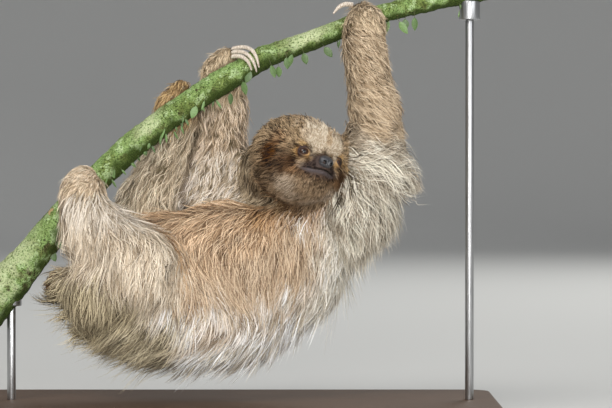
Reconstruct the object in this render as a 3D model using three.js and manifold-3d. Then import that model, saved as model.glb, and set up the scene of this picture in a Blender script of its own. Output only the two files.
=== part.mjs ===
// A three-toed sloth hanging from a cut length of branch, life size, on a plain display stand.
//
// Units are millimetres, +Z up, and the origin is the centre of the stand's underside. The animal is
// seen from its left side by a viewer at -Y: its head is towards +X, its belly faces the branch above,
// and its face turns to the viewer. Each hand and foot hooks over the branch with three long claws.
//
// The flesh is one smooth form, measured to the tips of the coat: round-ended bones with a radius at
// each joint, blended into each other, with the head's own form added. Each node of flesh is the part
// of that form that lies nearest its own bones, so that neighbours meet along thin cuts.
import * as THREE from "three";
import { mergeVertices } from "three/addons/utils/BufferGeometryUtils.js";
import Module from "manifold-3d";

const wasm = await Module();
wasm.setup();

// ---------------------------------------------------------------- driving dimensions

const GAP = 0.35; // between neighbouring solids
const BLEND = 14; // how far two forms flow into each other
const HEAD_BLEND = 7; // the same, on the face
const SMOOTH = 0.9; // facets of flesh flatter than this are merged
const SLIVER = 0.12; // the same, after a cut

// The stand.
const BASE = { length: 604, depth: 280, thickness: 18, corner: 26, bevel: 3 };
const ROD = { radius: 5, sides: 12, left: -257, right: 270 };
const CRADLE = { radius: 12, height: 30, sides: 14 };

// The branch's centre line in the plane y = 0, and its radius there.
const BRANCH = [
  { x: -292, z: 116, r: 27 },
  { x: -231, z: 186, r: 20.5 },
  { x: -184, z: 243, r: 17.6 },
  { x: -121, z: 307.5, r: 15.4 },
  { x: -37, z: 369.5, r: 15.2 },
  { x: 0, z: 391.5, r: 14.8 },
  { x: 34, z: 411.5, r: 13.4 },
  { x: 61, z: 421.5, r: 12.4 },
  { x: 90, z: 431.5, r: 11.8 },
  { x: 173, z: 463, r: 11.2 },
  { x: 292, z: 489, r: 11.6 },
];
const BRANCH_STEPS = 20;
const BRANCH_SIDES = 10;

// A joint of the body: its place and the coat's radius there.
const at = (x, y, z, r) => ({ p: new THREE.Vector3(x, y, z), r });
const JOINTS = {
  rump: at(-143, 2, 147, 54),
  haunch: at(-107, 2, 147, 75),
  loin: at(-58, 2, 147, 85),
  belly: at(-4, 2, 153, 88),
  chest: at(57, 2, 174, 73),
  withers: at(101, 2, 211, 51),
  shoulders: at(128, 2, 238, 45),
  neck_base: at(106, 6, 240, 38),
  neck_middle: at(70, 14, 257, 34),
  nape: at(40, 5, 284, 34),
  tail_root: at(-186, 2, 148, 15),
  tail_tip: at(-205, -4, 152, 13.5),
  hip_left: at(-147, -34, 146, 48),
  knee_left: at(-99, -72, 170, 40),
  shank_fringe: at(-168, -40, 188, 24),
  ankle_left: at(-171, -37, 242, 26),
  instep_left: at(-171, -27, 264, 22),
  toes_left: at(-170, -12, 273, 11),
  hip_right: at(-135, 38, 159, 48),
  knee_right: at(-111, 66, 225, 39),
  ankle_right: at(-66, 34, 333, 23),
  instep_right: at(-77, 19, 354, 14.5),
  toes_right: at(-61, 8, 381, 9.5),
  shoulder_left: at(141, -22, 239, 37),
  shoulder_fringe: at(173, -22, 279, 25),
  elbow_left: at(161, -28, 336, 29),
  wrist_left: at(147, -27, 430, 24),
  palm_left: at(150, -22, 450, 20),
  knuckles_left: at(144, -7, 468, 10),
  shoulder_right: at(120, 42, 228, 43),
  elbow_right: at(-23, 56, 264, 40),
  wrist_right: at(-10, 33, 362, 25),
  palm_right: at(-20, 22, 394, 18),
  knuckles_right: at(-9, 8, 416, 11.5),
};

// Each node of flesh follows one or two chains of joints. Its cell is the size of its facets, and only
// the trunk is flattened a little from side to side.
const FLESH = {
  trunk: { cell: 22, flat: 0.93, chains: ["rump haunch loin belly chest withers shoulders"] },
  neck: { cell: 18, chains: ["neck_base neck_middle nape"] },
  tail: { cell: 8, chains: ["tail_root tail_tip"] },
  arm_upper_left: { cell: 17, chains: ["shoulder_left elbow_left", "shoulder_fringe elbow_left"] },
  arm_fore_left: { cell: 14, chains: ["elbow_left wrist_left"] },
  hand_left: { cell: 11, chains: ["wrist_left palm_left knuckles_left"] },
  arm_upper_right: { cell: 20, chains: ["shoulder_right elbow_right"] },
  arm_fore_right: { cell: 15, chains: ["elbow_right wrist_right"] },
  hand_right: { cell: 12.5, chains: ["wrist_right palm_right knuckles_right"] },
  leg_thigh_left: { cell: 17, chains: ["hip_left knee_left"] },
  leg_shank_left: { cell: 15, chains: ["knee_left ankle_left", "shank_fringe ankle_left"] },
  foot_left: { cell: 11, chains: ["ankle_left instep_left toes_left"] },
  leg_thigh_right: { cell: 18, chains: ["hip_right knee_right"] },
  leg_shank_right: { cell: 16, chains: ["knee_right ankle_right"] },
  foot_right: { cell: 12, chains: ["ankle_right instep_right toes_right"] },
};

// The head, in its own axes: forwards to the face, to the animal's left, and up to the crown.
const HEAD = {
  centre: new THREE.Vector3(71.3, -40, 292.1),
  yaw: 35, // degrees, from the viewer towards +X
  pitch: 3, // degrees, nose up
  roll: 15.4, // degrees, crown towards +X
  cell: 9,
  skull: { centre: [-1, 0, 5], half: [52, 54.5, 48.5] },
  cheeks: { centre: [8, 0, -13.5], half: [42, 54, 38] },
  brow: { centre: [30, 0, 17], half: [25, 41, 22] },
  chin: { centre: [40, 0, -24], half: [15, 17, 12] },
  muzzle: { root: [38, 0, -8], root_r: 19, tip: [49.5, 0, -10], tip_r: 13 },
  socket: { forward: 56, side: 23.6, up: 1, radius: 9 },
};
const EYE = { forward: 44.2, side: 22.3, up: 1.5, radius: 7 };
const NOSE = { centre: [59.2, 0, -4.6], half: [6.5, 10, 7.5], nostril_side: 4.4, nostril_r: 1.9 };
const LIPS = { middle_up: -15, corner_up: -13, half_width: 32, slit: 1.3, steps: 12 };

// Claws bend round the branch. start and end are angles round its centre line, in degrees: 0 is the
// far side, 90 the top and 180 the near side. along is how far apart the claws leave the foot, splay
// how far each drifts along the branch as it bends, arch how far its bend stands off the bark, and lift
// how far its tip does.
const CLAW = { root_r: 3.7, tip_r: 0.9, steps: 6, sides: 6 };
const CLAWS = {
  hand_left: { x: 144, along: 8.5, splay: [-7, 0, 4], start: 108, end: -52, arch: 0, lift: 0.8 },
  foot_left: { x: -168, along: 8.5, splay: [-3, 0, 3], start: 104, end: -42, arch: 0, lift: 0.8 },
  foot_right: { x: -57, along: 6.5, splay: [14, 14, 14], start: 80, end: -35, arch: 1, lift: 2 },
};
// Claws that follow points of their own: the outermost claw of the left hand lies loose along the top
// of the branch, and the right hand's arch over its top and come down its near side.
const LAID_CLAWS = {
  hand_left: [
    [[136, -9, 471, 3.6], [127, -12, 472, 3.4], [119, -14.5, 468, 2.6], [113, -15, 460.5, 1]],
  ],
  hand_right: [
    [[-4, -7, 412, 2.9], [4.6, -12.5, 412.8, 2.9], [12, -15.8, 410, 2.6], [17.3, -17.5, 403.6, 2], [19.8, -15, 396, 1]],
    [[-4, -1, 417, 2.9], [8, -7, 418, 2.9], [16.7, -14.7, 413, 2.6], [22.4, -17.4, 405.3, 2], [25.6, -12.8, 393.8, 1]],
    [[-4, 4.5, 421.4, 2.9], [10.5, -2, 423.6, 2.9], [21, -11, 419, 2.6], [26.3, -17, 408.4, 2], [28.2, -14.8, 399, 1]],
  ],
};

const COLOURS = {
  coat: { color: 0x9c8468, roughness: 0.9 },
  face: { color: 0xb8a386, roughness: 0.85 },
  nose: { color: 0x2f2a2a, roughness: 0.45 },
  eye: { color: 0x1c1009, roughness: 0.1 },
  claw: { color: 0xcfc4ac, roughness: 0.4 },
  bark: { color: 0x6f8258, roughness: 0.95 },
  stand_wood: { color: 0x4a3526, roughness: 0.45 },
  stand_steel: { color: 0x8b8d90, roughness: 0.35, metalness: 0.9 },
};

// ---------------------------------------------------------------- solids

const radians = THREE.MathUtils.degToRad;

/** A closed geometry as a solid that can be cut and joined. */
function solidOf(geometry) {
  const bare = geometry.clone();
  bare.deleteAttribute("normal");
  bare.deleteAttribute("uv");
  const merged = mergeVertices(bare, 1e-4);
  const vertProperties = merged.attributes.position.array;
  return new wasm.Manifold(
    new wasm.Mesh({ numProp: 3, vertProperties, triVerts: new Uint32Array(merged.index.array) }),
  );
}

/** A solid's surface as a geometry that three.js can show. */
function geometryOf(solid) {
  const mesh = solid.getMesh();
  const geometry = new THREE.BufferGeometry();
  geometry.setAttribute("position", new THREE.BufferAttribute(new Float32Array(mesh.vertProperties), 3));
  geometry.setIndex(new THREE.BufferAttribute(new Uint32Array(mesh.triVerts), 1));
  geometry.computeVertexNormals();
  return geometry;
}

/** The same solid with its surface moved out by a distance. */
function swollen(solid, by) {
  const geometry = geometryOf(solid);
  const { position, normal } = geometry.attributes;
  for (let i = 0; i < position.count; i++) {
    const p = new THREE.Vector3().fromBufferAttribute(position, i);
    p.addScaledVector(new THREE.Vector3().fromBufferAttribute(normal, i), by);
    position.setXYZ(i, p.x, p.y, p.z);
  }
  return solidOf(geometry);
}

/** The largest of the separate bodies that a cut leaves. */
function largest(solid) {
  const bodies = solid.decompose();
  return bodies.reduce((best, body) => (body.volume() > best.volume() ? body : best));
}

/** True if two solids' boxes, grown by the gap, meet. */
function near(a, b) {
  const [p, q] = [a.boundingBox(), b.boundingBox()];
  return [0, 1, 2].every((k) => p.min[k] < q.max[k] + GAP && q.min[k] < p.max[k] + GAP);
}

/** A closed skin of rings, each a list of points, with a fan over each end. */
function loft(rings) {
  const sides = rings[0].length;
  const points = rings.flat();
  const faces = [];
  for (let i = 0; i + 1 < rings.length; i++)
    for (let j = 0; j < sides; j++) {
      const [a, b] = [i * sides + j, i * sides + ((j + 1) % sides)];
      faces.push(a, b, b + sides, a, b + sides, a + sides);
    }
  for (const [ring, flip] of [[0, true], [rings.length - 1, false]]) {
    const centre = points.length;
    points.push(rings[ring].reduce((s, p) => s.add(p), new THREE.Vector3()).divideScalar(sides));
    for (let j = 0; j < sides; j++) {
      const [a, b] = [ring * sides + j, ring * sides + ((j + 1) % sides)];
      faces.push(...(flip ? [b, a, centre] : [a, b, centre]));
    }
  }
  return new THREE.BufferGeometry().setFromPoints(points).setIndex(faces);
}

const [X, Y, Z] = [new THREE.Vector3(1, 0, 0), new THREE.Vector3(0, 1, 0), new THREE.Vector3(0, 0, 1)];

/** A round, tapering tube through stations of place and radius, none running along `up`. */
function taperedTube(stations, sides, up) {
  const rings = stations.map(({ p, r }, i) => {
    const before = stations[Math.max(i - 1, 0)].p;
    const after = stations[Math.min(i + 1, stations.length - 1)].p;
    const along = after.clone().sub(before).normalize();
    const u = up.clone().addScaledVector(along, -up.dot(along)).normalize();
    const v = along.clone().cross(u);
    return Array.from({ length: sides }, (_, j) => {
      const angle = (2 * Math.PI * j) / sides;
      return p.clone().addScaledVector(u, r * Math.cos(angle)).addScaledVector(v, r * Math.sin(angle));
    });
  });
  return loft(rings);
}

/** Reads a smooth line of stations, at a share from 0 to 1 of its length in stations. */
function smoothLine(stations) {
  const place = new THREE.CatmullRomCurve3(stations.map((s) => s.p), false, "centripetal");
  const radius = new THREE.CatmullRomCurve3(stations.map((s, i) => new THREE.Vector3(i, s.r, 0)));
  return (share) => ({ p: place.getPoint(share), r: radius.getPoint(share).y });
}

// ---------------------------------------------------------------- the body's form

/** Distance to a round-ended bone that tapers between two joints. */
function boneDistance(p, a, b, flat = 1) {
  const span = b.p.clone().sub(a.p);
  const t = THREE.MathUtils.clamp(p.clone().sub(a.p).dot(span) / span.lengthSq(), 0, 1);
  const off = a.p.clone().addScaledVector(span, t).sub(p);
  off.y /= flat;
  return off.length() - THREE.MathUtils.lerp(a.r, b.r, t);
}

/** Distance to an ellipsoid, close enough near its surface. */
function ellipsoidDistance(p, { centre, half }) {
  const q = p.clone().sub(new THREE.Vector3(...centre));
  const h = new THREE.Vector3(...half);
  const share = q.clone().divide(h);
  const slope = share.clone().divide(h).length();
  return slope < 1e-6 ? -Math.min(...half) : (share.length() * (share.length() - 1)) / slope;
}

/** The lesser of two distances, rounded where they cross. */
function smoothMin(a, b, k) {
  const h = Math.max(k - Math.abs(a - b), 0) / k;
  return Math.min(a, b) - (h * h * k) / 4;
}

const forward = new THREE.Vector3(Math.sin(radians(HEAD.yaw)), -Math.cos(radians(HEAD.yaw)), 0);
const headTurn = new THREE.Matrix4()
  .makeBasis(forward, new THREE.Vector3(-forward.y, forward.x, 0), new THREE.Vector3(0, 0, 1))
  .multiply(new THREE.Matrix4().makeRotationY(radians(-HEAD.pitch)))
  .multiply(new THREE.Matrix4().makeRotationX(radians(-HEAD.roll)));
const headMatrix = headTurn.clone().setPosition(HEAD.centre);
const toHead = headMatrix.clone().invert();

/** A point given in the head's axes, in the part's frame. */
const onHead = (f, l, u) => new THREE.Vector3(f, l, u).applyMatrix4(headMatrix);

/** Distance to the head's form: skull, cheeks, brow, muzzle and chin, with the eye sockets hollowed. */
function headDistance(point) {
  const p = point.clone().applyMatrix4(toHead);
  const { root, root_r, tip, tip_r } = HEAD.muzzle;
  const muzzle = boneDistance(p, at(...root, root_r), at(...tip, tip_r));
  let d = smoothMin(ellipsoidDistance(p, HEAD.skull), ellipsoidDistance(p, HEAD.cheeks), BLEND);
  for (const other of [ellipsoidDistance(p, HEAD.brow), muzzle, ellipsoidDistance(p, HEAD.chin)])
    d = smoothMin(d, other, HEAD_BLEND);
  for (const side of [-1, 1]) {
    const { forward: f, side: l, up, radius } = HEAD.socket;
    const hollow = p.distanceTo(new THREE.Vector3(f, side * l, up)) - radius;
    d = -smoothMin(-d, hollow, HEAD_BLEND);
  }
  return d;
}

/** Distance to a node's chains of bones. */
function chainsDistance(p, { bones, flat }) {
  return bones.reduce((d, [a, b]) => smoothMin(d, boneDistance(p, a, b, flat), BLEND), 1e3);
}

/** The box that a node's bones and their coat lie in. */
function boxOf(bones) {
  const box = new THREE.Box3();
  for (const { p, r } of bones.flat()) {
    const reach = new THREE.Vector3().setScalar(r + BLEND / 2);
    box.union(new THREE.Box3(p.clone().sub(reach), p.clone().add(reach)));
  }
  return box;
}

/** The planes across the joints that a node shares with others, each facing out of the node. */
function jointPlanes(name) {
  const jointsOf = (key) => FLESH[key].chains[0].split(" ");
  const own = jointsOf(name);
  const planes = [];
  for (const other of Object.keys(FLESH).filter((key) => key !== name)) {
    const list = jointsOf(other);
    const shared = own.find((joint) => list.includes(joint));
    if (!shared) continue;
    const [back, on] = [own, list].map((joints) => {
      const i = joints.indexOf(shared);
      return JOINTS[joints[i === 0 ? 1 : i - 1]].p.clone().sub(JOINTS[shared].p).normalize();
    });
    planes.push(new THREE.Plane().setFromNormalAndCoplanarPoint(on.sub(back).normalize(), JOINTS[shared].p));
  }
  return planes;
}

const HEAD_BOX = new THREE.Box3().setFromCenterAndSize(HEAD.centre, new THREE.Vector3(150, 150, 130));
const FORMS = { head: { form: headDistance, box: HEAD_BOX, planes: [] } };
for (const [name, { chains, flat }] of Object.entries(FLESH)) {
  const lists = chains.map((chain) => chain.split(" ").map((joint) => JOINTS[joint]));
  const bones = lists.flatMap((list) => list.slice(1).map((joint, i) => [list[i], joint]));
  const form = (p) => chainsDistance(p, { bones, flat });
  FORMS[name] = { form, box: boxOf(bones), planes: jointPlanes(name) };
}

/** How far a point is from belonging to a node: its distance, and more past a shared joint. */
function claimOf({ planes }, p, distance) {
  return planes.reduce((sum, plane) => sum + 4 * Math.max(0, plane.distanceToPoint(p)), distance);
}

/** A node's share of the whole form: inside the coat, and nearer its own bones than any other's. */
function nodeField(name) {
  const mine = FORMS[name];
  const others = Object.keys(FORMS).filter((key) => key !== name).map((key) => FORMS[key]);
  return (p) => {
    const own = mine.form(p);
    if (own > 3 * BLEND) return own;
    let whole = own;
    let rival = 1e3;
    for (const other of others) {
      if (other.box.distanceToPoint(p) > 4 * BLEND) continue;
      const d = other.form(p);
      whole = smoothMin(whole, d, BLEND);
      rival = Math.min(rival, claimOf(other, p, d));
    }
    return Math.max(whole, (claimOf(mine, p, own) - rival) / 2 + GAP * 1.5);
  };
}

/** Which of a cell's crossed edges lie on the same sheet, as a label for each edge from a low corner. */
function sheetsOf(inside) {
  const label = new Map();
  const edge = (a, b) => Math.min(a, b) * 3 + Math.log2(a ^ b);
  const join = (e, f) => {
    const [keep, drop] = [label.get(e) ?? e, label.get(f) ?? f];
    label.set(e, keep).set(f, keep);
    for (const [other, value] of label) if (value === drop) label.set(other, keep);
  };
  for (let axis = 0; axis < 3; axis++)
    for (const base of [0, 1 << axis]) {
      const [u, v] = [1 << (axis + 1) % 3, 1 << (axis + 2) % 3];
      const ring = [base, base | u, base | u | v, base | v];
      for (let i = 0; i < 4; i++) {
        if (!inside[ring[i]] || inside[ring[(i + 3) % 4]]) continue;
        let j = i;
        while (inside[ring[(j + 1) % 4]]) j++;
        join(edge(ring[i], ring[(i + 3) % 4]), edge(ring[j % 4], ring[(j + 1) % 4]));
      }
    }
  return label;
}

/** The surface where a field is zero, as one closed net with a vertex for each sheet in a cell. */
function netOf(field, box, cell) {
  const size = box.getSize(new THREE.Vector3());
  const n = ["x", "y", "z"].map((k) => Math.ceil(size[k] / cell) + 2);
  const place = (i, j, k) => new THREE.Vector3(i - 0.5, j - 0.5, k - 0.5).multiplyScalar(cell).add(box.min);
  const key = (i, j, k) => (k * (n[1] + 1) + j) * (n[0] + 1) + i;
  const step = [1, n[0] + 1, (n[0] + 1) * (n[1] + 1)];
  const value = new Float64Array((n[2] + 1) * step[2]);
  const grid = [];
  for (let k = 0; k <= n[2]; k++)
    for (let j = 0; j <= n[1]; j++)
      for (let i = 0; i <= n[0]; i++) {
        value[key(i, j, k)] = field(place(i, j, k));
        if (i < n[0] && j < n[1] && k < n[2]) grid.push([i, j, k]);
      }

  const crossings = new Map();
  const crossingOf = (i, j, k, axis, from, to) => {
    const edge = key(i, j, k) * 3 + axis;
    if (!crossings.has(edge)) {
      const p = place(i, j, k);
      p.setComponent(axis, p.getComponent(axis) + (cell * from) / (from - to));
      crossings.set(edge, { p, normal: slopeOf(field, p).normalize() });
    }
    return crossings.get(edge);
  };

  const points = [];
  const vertexOf = new Map();
  const corners = [0, 1, 2, 3, 4, 5, 6, 7].map((c) => [c & 1, (c >> 1) & 1, c >> 2]);
  for (const [i, j, k] of grid) {
    const values = corners.map(([a, b, c]) => value[key(i + a, j + b, k + c)]);
    const sheets = new Map();
    for (const [edge, sheet] of sheetsOf(values.map((v) => v < 0))) {
      const [low, axis] = [Math.floor(edge / 3), edge % 3];
      const [a, b, c] = corners[low];
      if (!sheets.has(sheet)) sheets.set(sheet, { index: points.length + sheets.size, met: [] });
      sheets.get(sheet).met.push(crossingOf(i + a, j + b, k + c, axis, values[low], values[low | (1 << axis)]));
      vertexOf.set(key(i, j, k) * 24 + edge, sheets.get(sheet).index);
    }
    const room = new THREE.Box3(place(i, j, k), place(i + 1, j + 1, k + 1));
    for (const { met } of sheets.values()) points.push(meetingPoint(met, room));
  }

  const faces = [];
  for (const [i, j, k] of grid)
    for (let axis = 0; axis < 3; axis++) {
      const c = key(i, j, k);
      const inside = value[c] < 0;
      if (inside === value[c + step[axis]] < 0) continue;
      const [u, v] = [(axis + 1) % 3, (axis + 2) % 3];
      const around = [[0, 0], [1, 0], [1, 1], [0, 1]];
      const quad = around.map(([a, b]) => {
        const corner = (a << u) | (b << v);
        return vertexOf.get((c - a * step[u] - b * step[v]) * 24 + corner * 3 + axis);
      });
      if (!inside) quad.reverse();
      const [p, q, r, s] = quad.map((index) => points[index]);
      const cut = p.distanceTo(r) < q.distanceTo(s) ? [0, 1, 2, 0, 2, 3] : [1, 2, 3, 1, 3, 0];
      faces.push(...cut.map((corner) => quad[corner]));
    }
  return new THREE.BufferGeometry().setFromPoints(points).setIndex(faces);
}

/** The direction and rate at which a field rises. */
function slopeOf(field, p) {
  const e = 0.05;
  const d = field(p);
  return new THREE.Vector3(
    field(p.clone().setX(p.x + e)) - d,
    field(p.clone().setY(p.y + e)) - d,
    field(p.clone().setZ(p.z + e)) - d,
  ).divideScalar(e);
}

/** Where the faces through some crossings meet: on the sharp edge or corner, if there is one. */
function meetingPoint(met, room) {
  const p = met.reduce((sum, crossing) => sum.add(crossing.p), new THREE.Vector3()).divideScalar(met.length);
  for (let pass = 0; pass < 20; pass++) {
    const pull = new THREE.Vector3();
    for (const { p: q, normal } of met) pull.addScaledVector(normal, normal.dot(q.clone().sub(p)));
    p.addScaledVector(pull, 1 / met.length);
  }
  return room.clampPoint(p, p);
}

// ---------------------------------------------------------------- branch, claws, eyes and nose

const branchAt = smoothLine(BRANCH.map(({ x, z, r }) => at(x, 0, z, r)));

/** The branch's centre, radius and direction where it passes a given x. */
function branchNear(x) {
  let [low, high] = [0, 1];
  for (let i = 0; i < 40; i++) {
    const middle = (low + high) / 2;
    if (branchAt(middle).p.x < x) low = middle;
    else high = middle;
  }
  const along = branchAt(Math.min(low + 0.01, 1)).p.sub(branchAt(Math.max(low - 0.01, 0)).p).normalize();
  return { ...branchAt(low), along };
}

/** The cut branch, with low knots and swellings along it. */
function branchSolid() {
  const stations = Array.from({ length: BRANCH_STEPS + 1 }, (_, i) => {
    const { p, r } = branchAt(i / BRANCH_STEPS);
    return { p, r: r * (1 + 0.03 * Math.sin(i * 2.3)) };
  });
  return solidOf(taperedTube(stations, BRANCH_SIDES, Y));
}

/** One claw as a tapering horn that bends round the branch. */
function claw({ x, along, splay, start, end, arch, lift }, index) {
  const stations = Array.from({ length: CLAW.steps + 1 }, (_, i) => {
    const t = i / CLAW.steps;
    const r = THREE.MathUtils.lerp(CLAW.root_r, CLAW.tip_r, t ** 1.4);
    const bark = branchNear(x + (index - 1) * along + splay[index] * t);
    const angle = radians(THREE.MathUtils.lerp(start, end, t));
    const rise = Y.clone().cross(bark.along).negate();
    const reach = bark.r * 1.03 + r + GAP + 0.4 + arch * Math.sin(Math.PI * t) + lift * t * t;
    const p = bark.p.clone().addScaledVector(Y, reach * Math.cos(angle));
    return { p: p.addScaledVector(rise, reach * Math.sin(angle)), r };
  });
  return solidOf(taperedTube(stations, CLAW.sides, X));
}

/** One claw as a tapering horn through points of its own. */
function laidClaw(points) {
  const line = smoothLine(points.map((point) => at(...point)));
  const stations = Array.from({ length: CLAW.steps + 1 }, (_, i) => line(i / CLAW.steps));
  return solidOf(taperedTube(stations, CLAW.sides, Y));
}

/** A ball or egg in the head's axes. */
function headEgg(centre, half, across, down) {
  const egg = new THREE.SphereGeometry(1, across, down).rotateX(Math.PI / 2).scale(...half);
  return solidOf(egg.translate(...centre).applyMatrix4(headMatrix));
}

/** The nose pad, with a dent for each nostril. */
function noseSolid() {
  const { centre, half, nostril_side, nostril_r } = NOSE;
  let nose = headEgg(centre, half, 10, 7);
  for (const side of [-1, 1]) {
    const dent = [centre[0] + half[0] * 0.86, side * nostril_side, centre[2] - 0.5];
    nose = nose.subtract(headEgg(dent, [nostril_r, nostril_r, nostril_r * 1.2], 6, 4));
  }
  return nose;
}

/** How far forward the face reaches at a place across and up it. */
function faceAt(l, u) {
  let f = 90;
  while (f > 0 && headDistance(onHead(f, l, u)) > 0.05) f -= Math.max(0.05, 0.6 * headDistance(onHead(f, l, u)));
  return f;
}

/** The slit between the lips, a thin bar along the face that is cut from the head. */
function lipSlit() {
  const stations = Array.from({ length: LIPS.steps + 1 }, (_, i) => {
    const share = (2 * i) / LIPS.steps - 1;
    const l = LIPS.half_width * share;
    const u = THREE.MathUtils.lerp(LIPS.middle_up, LIPS.corner_up, share ** 2);
    return { p: onHead(faceAt(l, u), l, u), r: LIPS.slit };
  });
  return solidOf(taperedTube(stations, 5, Z));
}

// ---------------------------------------------------------------- the stand

/** A flat plate with round corners and a bevelled top edge. */
function baseSolid() {
  const { length, depth, thickness, corner, bevel } = BASE;
  const [w, h, r] = [length / 2 - bevel, depth / 2 - bevel, corner];
  const outline = new THREE.Shape();
  outline.absarc(w - r, h - r, r, 0, Math.PI / 2);
  outline.absarc(r - w, h - r, r, Math.PI / 2, Math.PI);
  outline.absarc(r - w, r - h, r, Math.PI, 1.5 * Math.PI);
  outline.absarc(w - r, r - h, r, 1.5 * Math.PI, 2 * Math.PI);
  const options = { depth: thickness - bevel * 2, bevelSize: bevel, bevelThickness: bevel, bevelSegments: 1 };
  const plate = new THREE.ExtrudeGeometry(outline, { ...options, curveSegments: 3 });
  return solidOf(plate.translate(0, 0, bevel));
}

/** An upright cylinder between two heights. */
function uprightSolid(x, low, high, radius, sides) {
  const post = new THREE.CylinderGeometry(radius, radius, high - low, sides).rotateX(Math.PI / 2);
  return solidOf(post.translate(x, 0, (low + high) / 2));
}

// ---------------------------------------------------------------- assembly

const finished = new Map();
const root = new THREE.Group();

/** Cuts a solid back from all that is finished, and adds it as a named mesh. */
function add(name, solid, look) {
  let rest = solid;
  for (const other of finished.values()) if (near(rest, other)) rest = rest.subtract(swollen(other, GAP));
  rest = largest(rest.simplify(SLIVER));
  finished.set(name, rest);
  const { color, roughness, metalness = 0 } = COLOURS[look];
  const mesh = new THREE.Mesh(geometryOf(rest), new THREE.MeshStandardMaterial({ color, roughness, metalness }));
  mesh.name = name;
  root.add(mesh);
}

add("perch_branch", branchSolid(), "bark");
for (const [side, x] of [["left", ROD.left], ["right", ROD.right]]) {
  const under = branchNear(x).p.z - CRADLE.height;
  const cradle = uprightSolid(x, under, under + CRADLE.height, CRADLE.radius, CRADLE.sides);
  add(`stand_cradle_${side}`, cradle, "stand_steel");
  add(`stand_rod_${side}`, uprightSolid(x, BASE.thickness, under - GAP, ROD.radius, ROD.sides), "stand_steel");
}
add("stand_base", baseSolid(), "stand_wood");

for (const foot of ["hand_left", "hand_right", "foot_left", "foot_right"])
  for (const index of [0, 1, 2]) {
    const points = LAID_CLAWS[foot]?.[index];
    add(`claw_${foot}_${index + 1}`, points ? laidClaw(points) : claw(CLAWS[foot], index), "claw");
  }
for (const [side, sign] of [["right", -1], ["left", 1]]) {
  const { forward: f, side: l, up, radius } = EYE;
  add(`eye_${side}`, headEgg([f, sign * l, up], [radius, radius, radius], 10, 7), "eye");
}
add("nose", noseSolid(), "nose");
/** A node of flesh as a solid. */
const fleshSolid = (name, cell) => solidOf(netOf(nodeField(name), FORMS[name].box, cell)).simplify(SMOOTH);
add("head", fleshSolid("head", HEAD.cell).subtract(lipSlit()), "face");
for (const [name, { cell }] of Object.entries(FLESH)) add(name, fleshSolid(name, cell), "coat");

export default root;
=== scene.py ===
"""A three-toed sloth that hangs from a lichened branch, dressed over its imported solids.

All lengths in the constants below are millimetres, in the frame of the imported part, because that is
how the animal was measured. Blender's own meshes are in metres. The viewer stands at -Y and sees the
animal's left side; its head is towards +X and its belly faces the branch above it.
"""

from __future__ import annotations

import logging
import math
from collections.abc import Callable, Sequence
from dataclasses import dataclass, field, replace
from enum import Enum

import bmesh
import bpy
import numpy as np
from bmesh.types import BMEdge, BMesh
from bpy.types import Material, Mesh, Node, NodeSocket, Object
from mathutils import Matrix, Vector, kdtree

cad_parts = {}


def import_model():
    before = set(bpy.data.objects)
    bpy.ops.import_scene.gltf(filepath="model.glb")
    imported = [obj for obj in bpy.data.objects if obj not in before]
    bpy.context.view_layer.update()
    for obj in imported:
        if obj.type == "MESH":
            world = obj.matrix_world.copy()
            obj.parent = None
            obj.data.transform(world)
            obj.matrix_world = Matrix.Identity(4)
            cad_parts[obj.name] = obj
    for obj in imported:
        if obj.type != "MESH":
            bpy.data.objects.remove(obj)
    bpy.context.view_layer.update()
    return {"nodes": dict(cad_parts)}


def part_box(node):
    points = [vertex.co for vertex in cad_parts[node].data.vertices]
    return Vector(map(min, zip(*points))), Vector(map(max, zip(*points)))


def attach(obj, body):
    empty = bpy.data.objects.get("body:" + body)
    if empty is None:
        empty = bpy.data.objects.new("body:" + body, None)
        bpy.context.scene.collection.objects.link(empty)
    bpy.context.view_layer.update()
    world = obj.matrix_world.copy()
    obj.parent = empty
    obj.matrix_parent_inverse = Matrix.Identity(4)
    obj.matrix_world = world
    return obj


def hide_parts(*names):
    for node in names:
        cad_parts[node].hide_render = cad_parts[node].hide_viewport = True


LOG = logging.getLogger("sloth")
MM = 0.001
TINT = "tint"  # the colour layer that the finishes read
Array = np.ndarray
Colour = tuple[float, float, float]

# ------------------------------------------------------------------ the animal's plan

# The bones that say which part a place belongs to, and where along it: each joint's place, and the
# radius of the coat's form there.
JOINTS: dict[str, tuple[float, float, float, float]] = {
    "rump": (-143, 2, 147, 54),
    "haunch": (-107, 2, 147, 75),
    "loin": (-58, 2, 147, 85),
    "belly": (-4, 2, 153, 88),
    "chest": (57, 2, 174, 73),
    "withers": (101, 2, 211, 51),
    "shoulders": (128, 2, 238, 45),
    "neck_base": (106, 6, 240, 38),
    "neck_middle": (70, 14, 257, 34),
    "nape": (40, 5, 284, 34),
    "tail_root": (-186, 2, 148, 15),
    "tail_tip": (-205, -4, 152, 13.5),
    "hip_left": (-147, -34, 146, 48),
    "knee_left": (-99, -72, 170, 40),
    "shank_fringe": (-168, -40, 188, 24),
    "ankle_left": (-171, -37, 242, 26),
    "instep_left": (-171, -27, 264, 22),
    "toes_left": (-170, -12, 273, 11),
    "hip_right": (-135, 38, 159, 48),
    "knee_right": (-111, 66, 225, 39),
    "ankle_right": (-66, 34, 333, 23),
    "instep_right": (-77, 19, 354, 14.5),
    "toes_right": (-61, 8, 381, 9.5),
    "shoulder_left": (141, -22, 239, 37),
    "shoulder_fringe": (173, -22, 279, 25),
    "elbow_left": (161, -28, 336, 29),
    "wrist_left": (147, -27, 430, 24),
    "palm_left": (150, -22, 450, 20),
    "knuckles_left": (144, -7, 468, 10),
    "shoulder_right": (120, 42, 228, 43),
    "elbow_right": (-23, 56, 264, 40),
    "wrist_right": (-10, 33, 362, 25),
    "palm_right": (-20, 22, 394, 18),
    "knuckles_right": (-9, 8, 416, 11.5),
}


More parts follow.
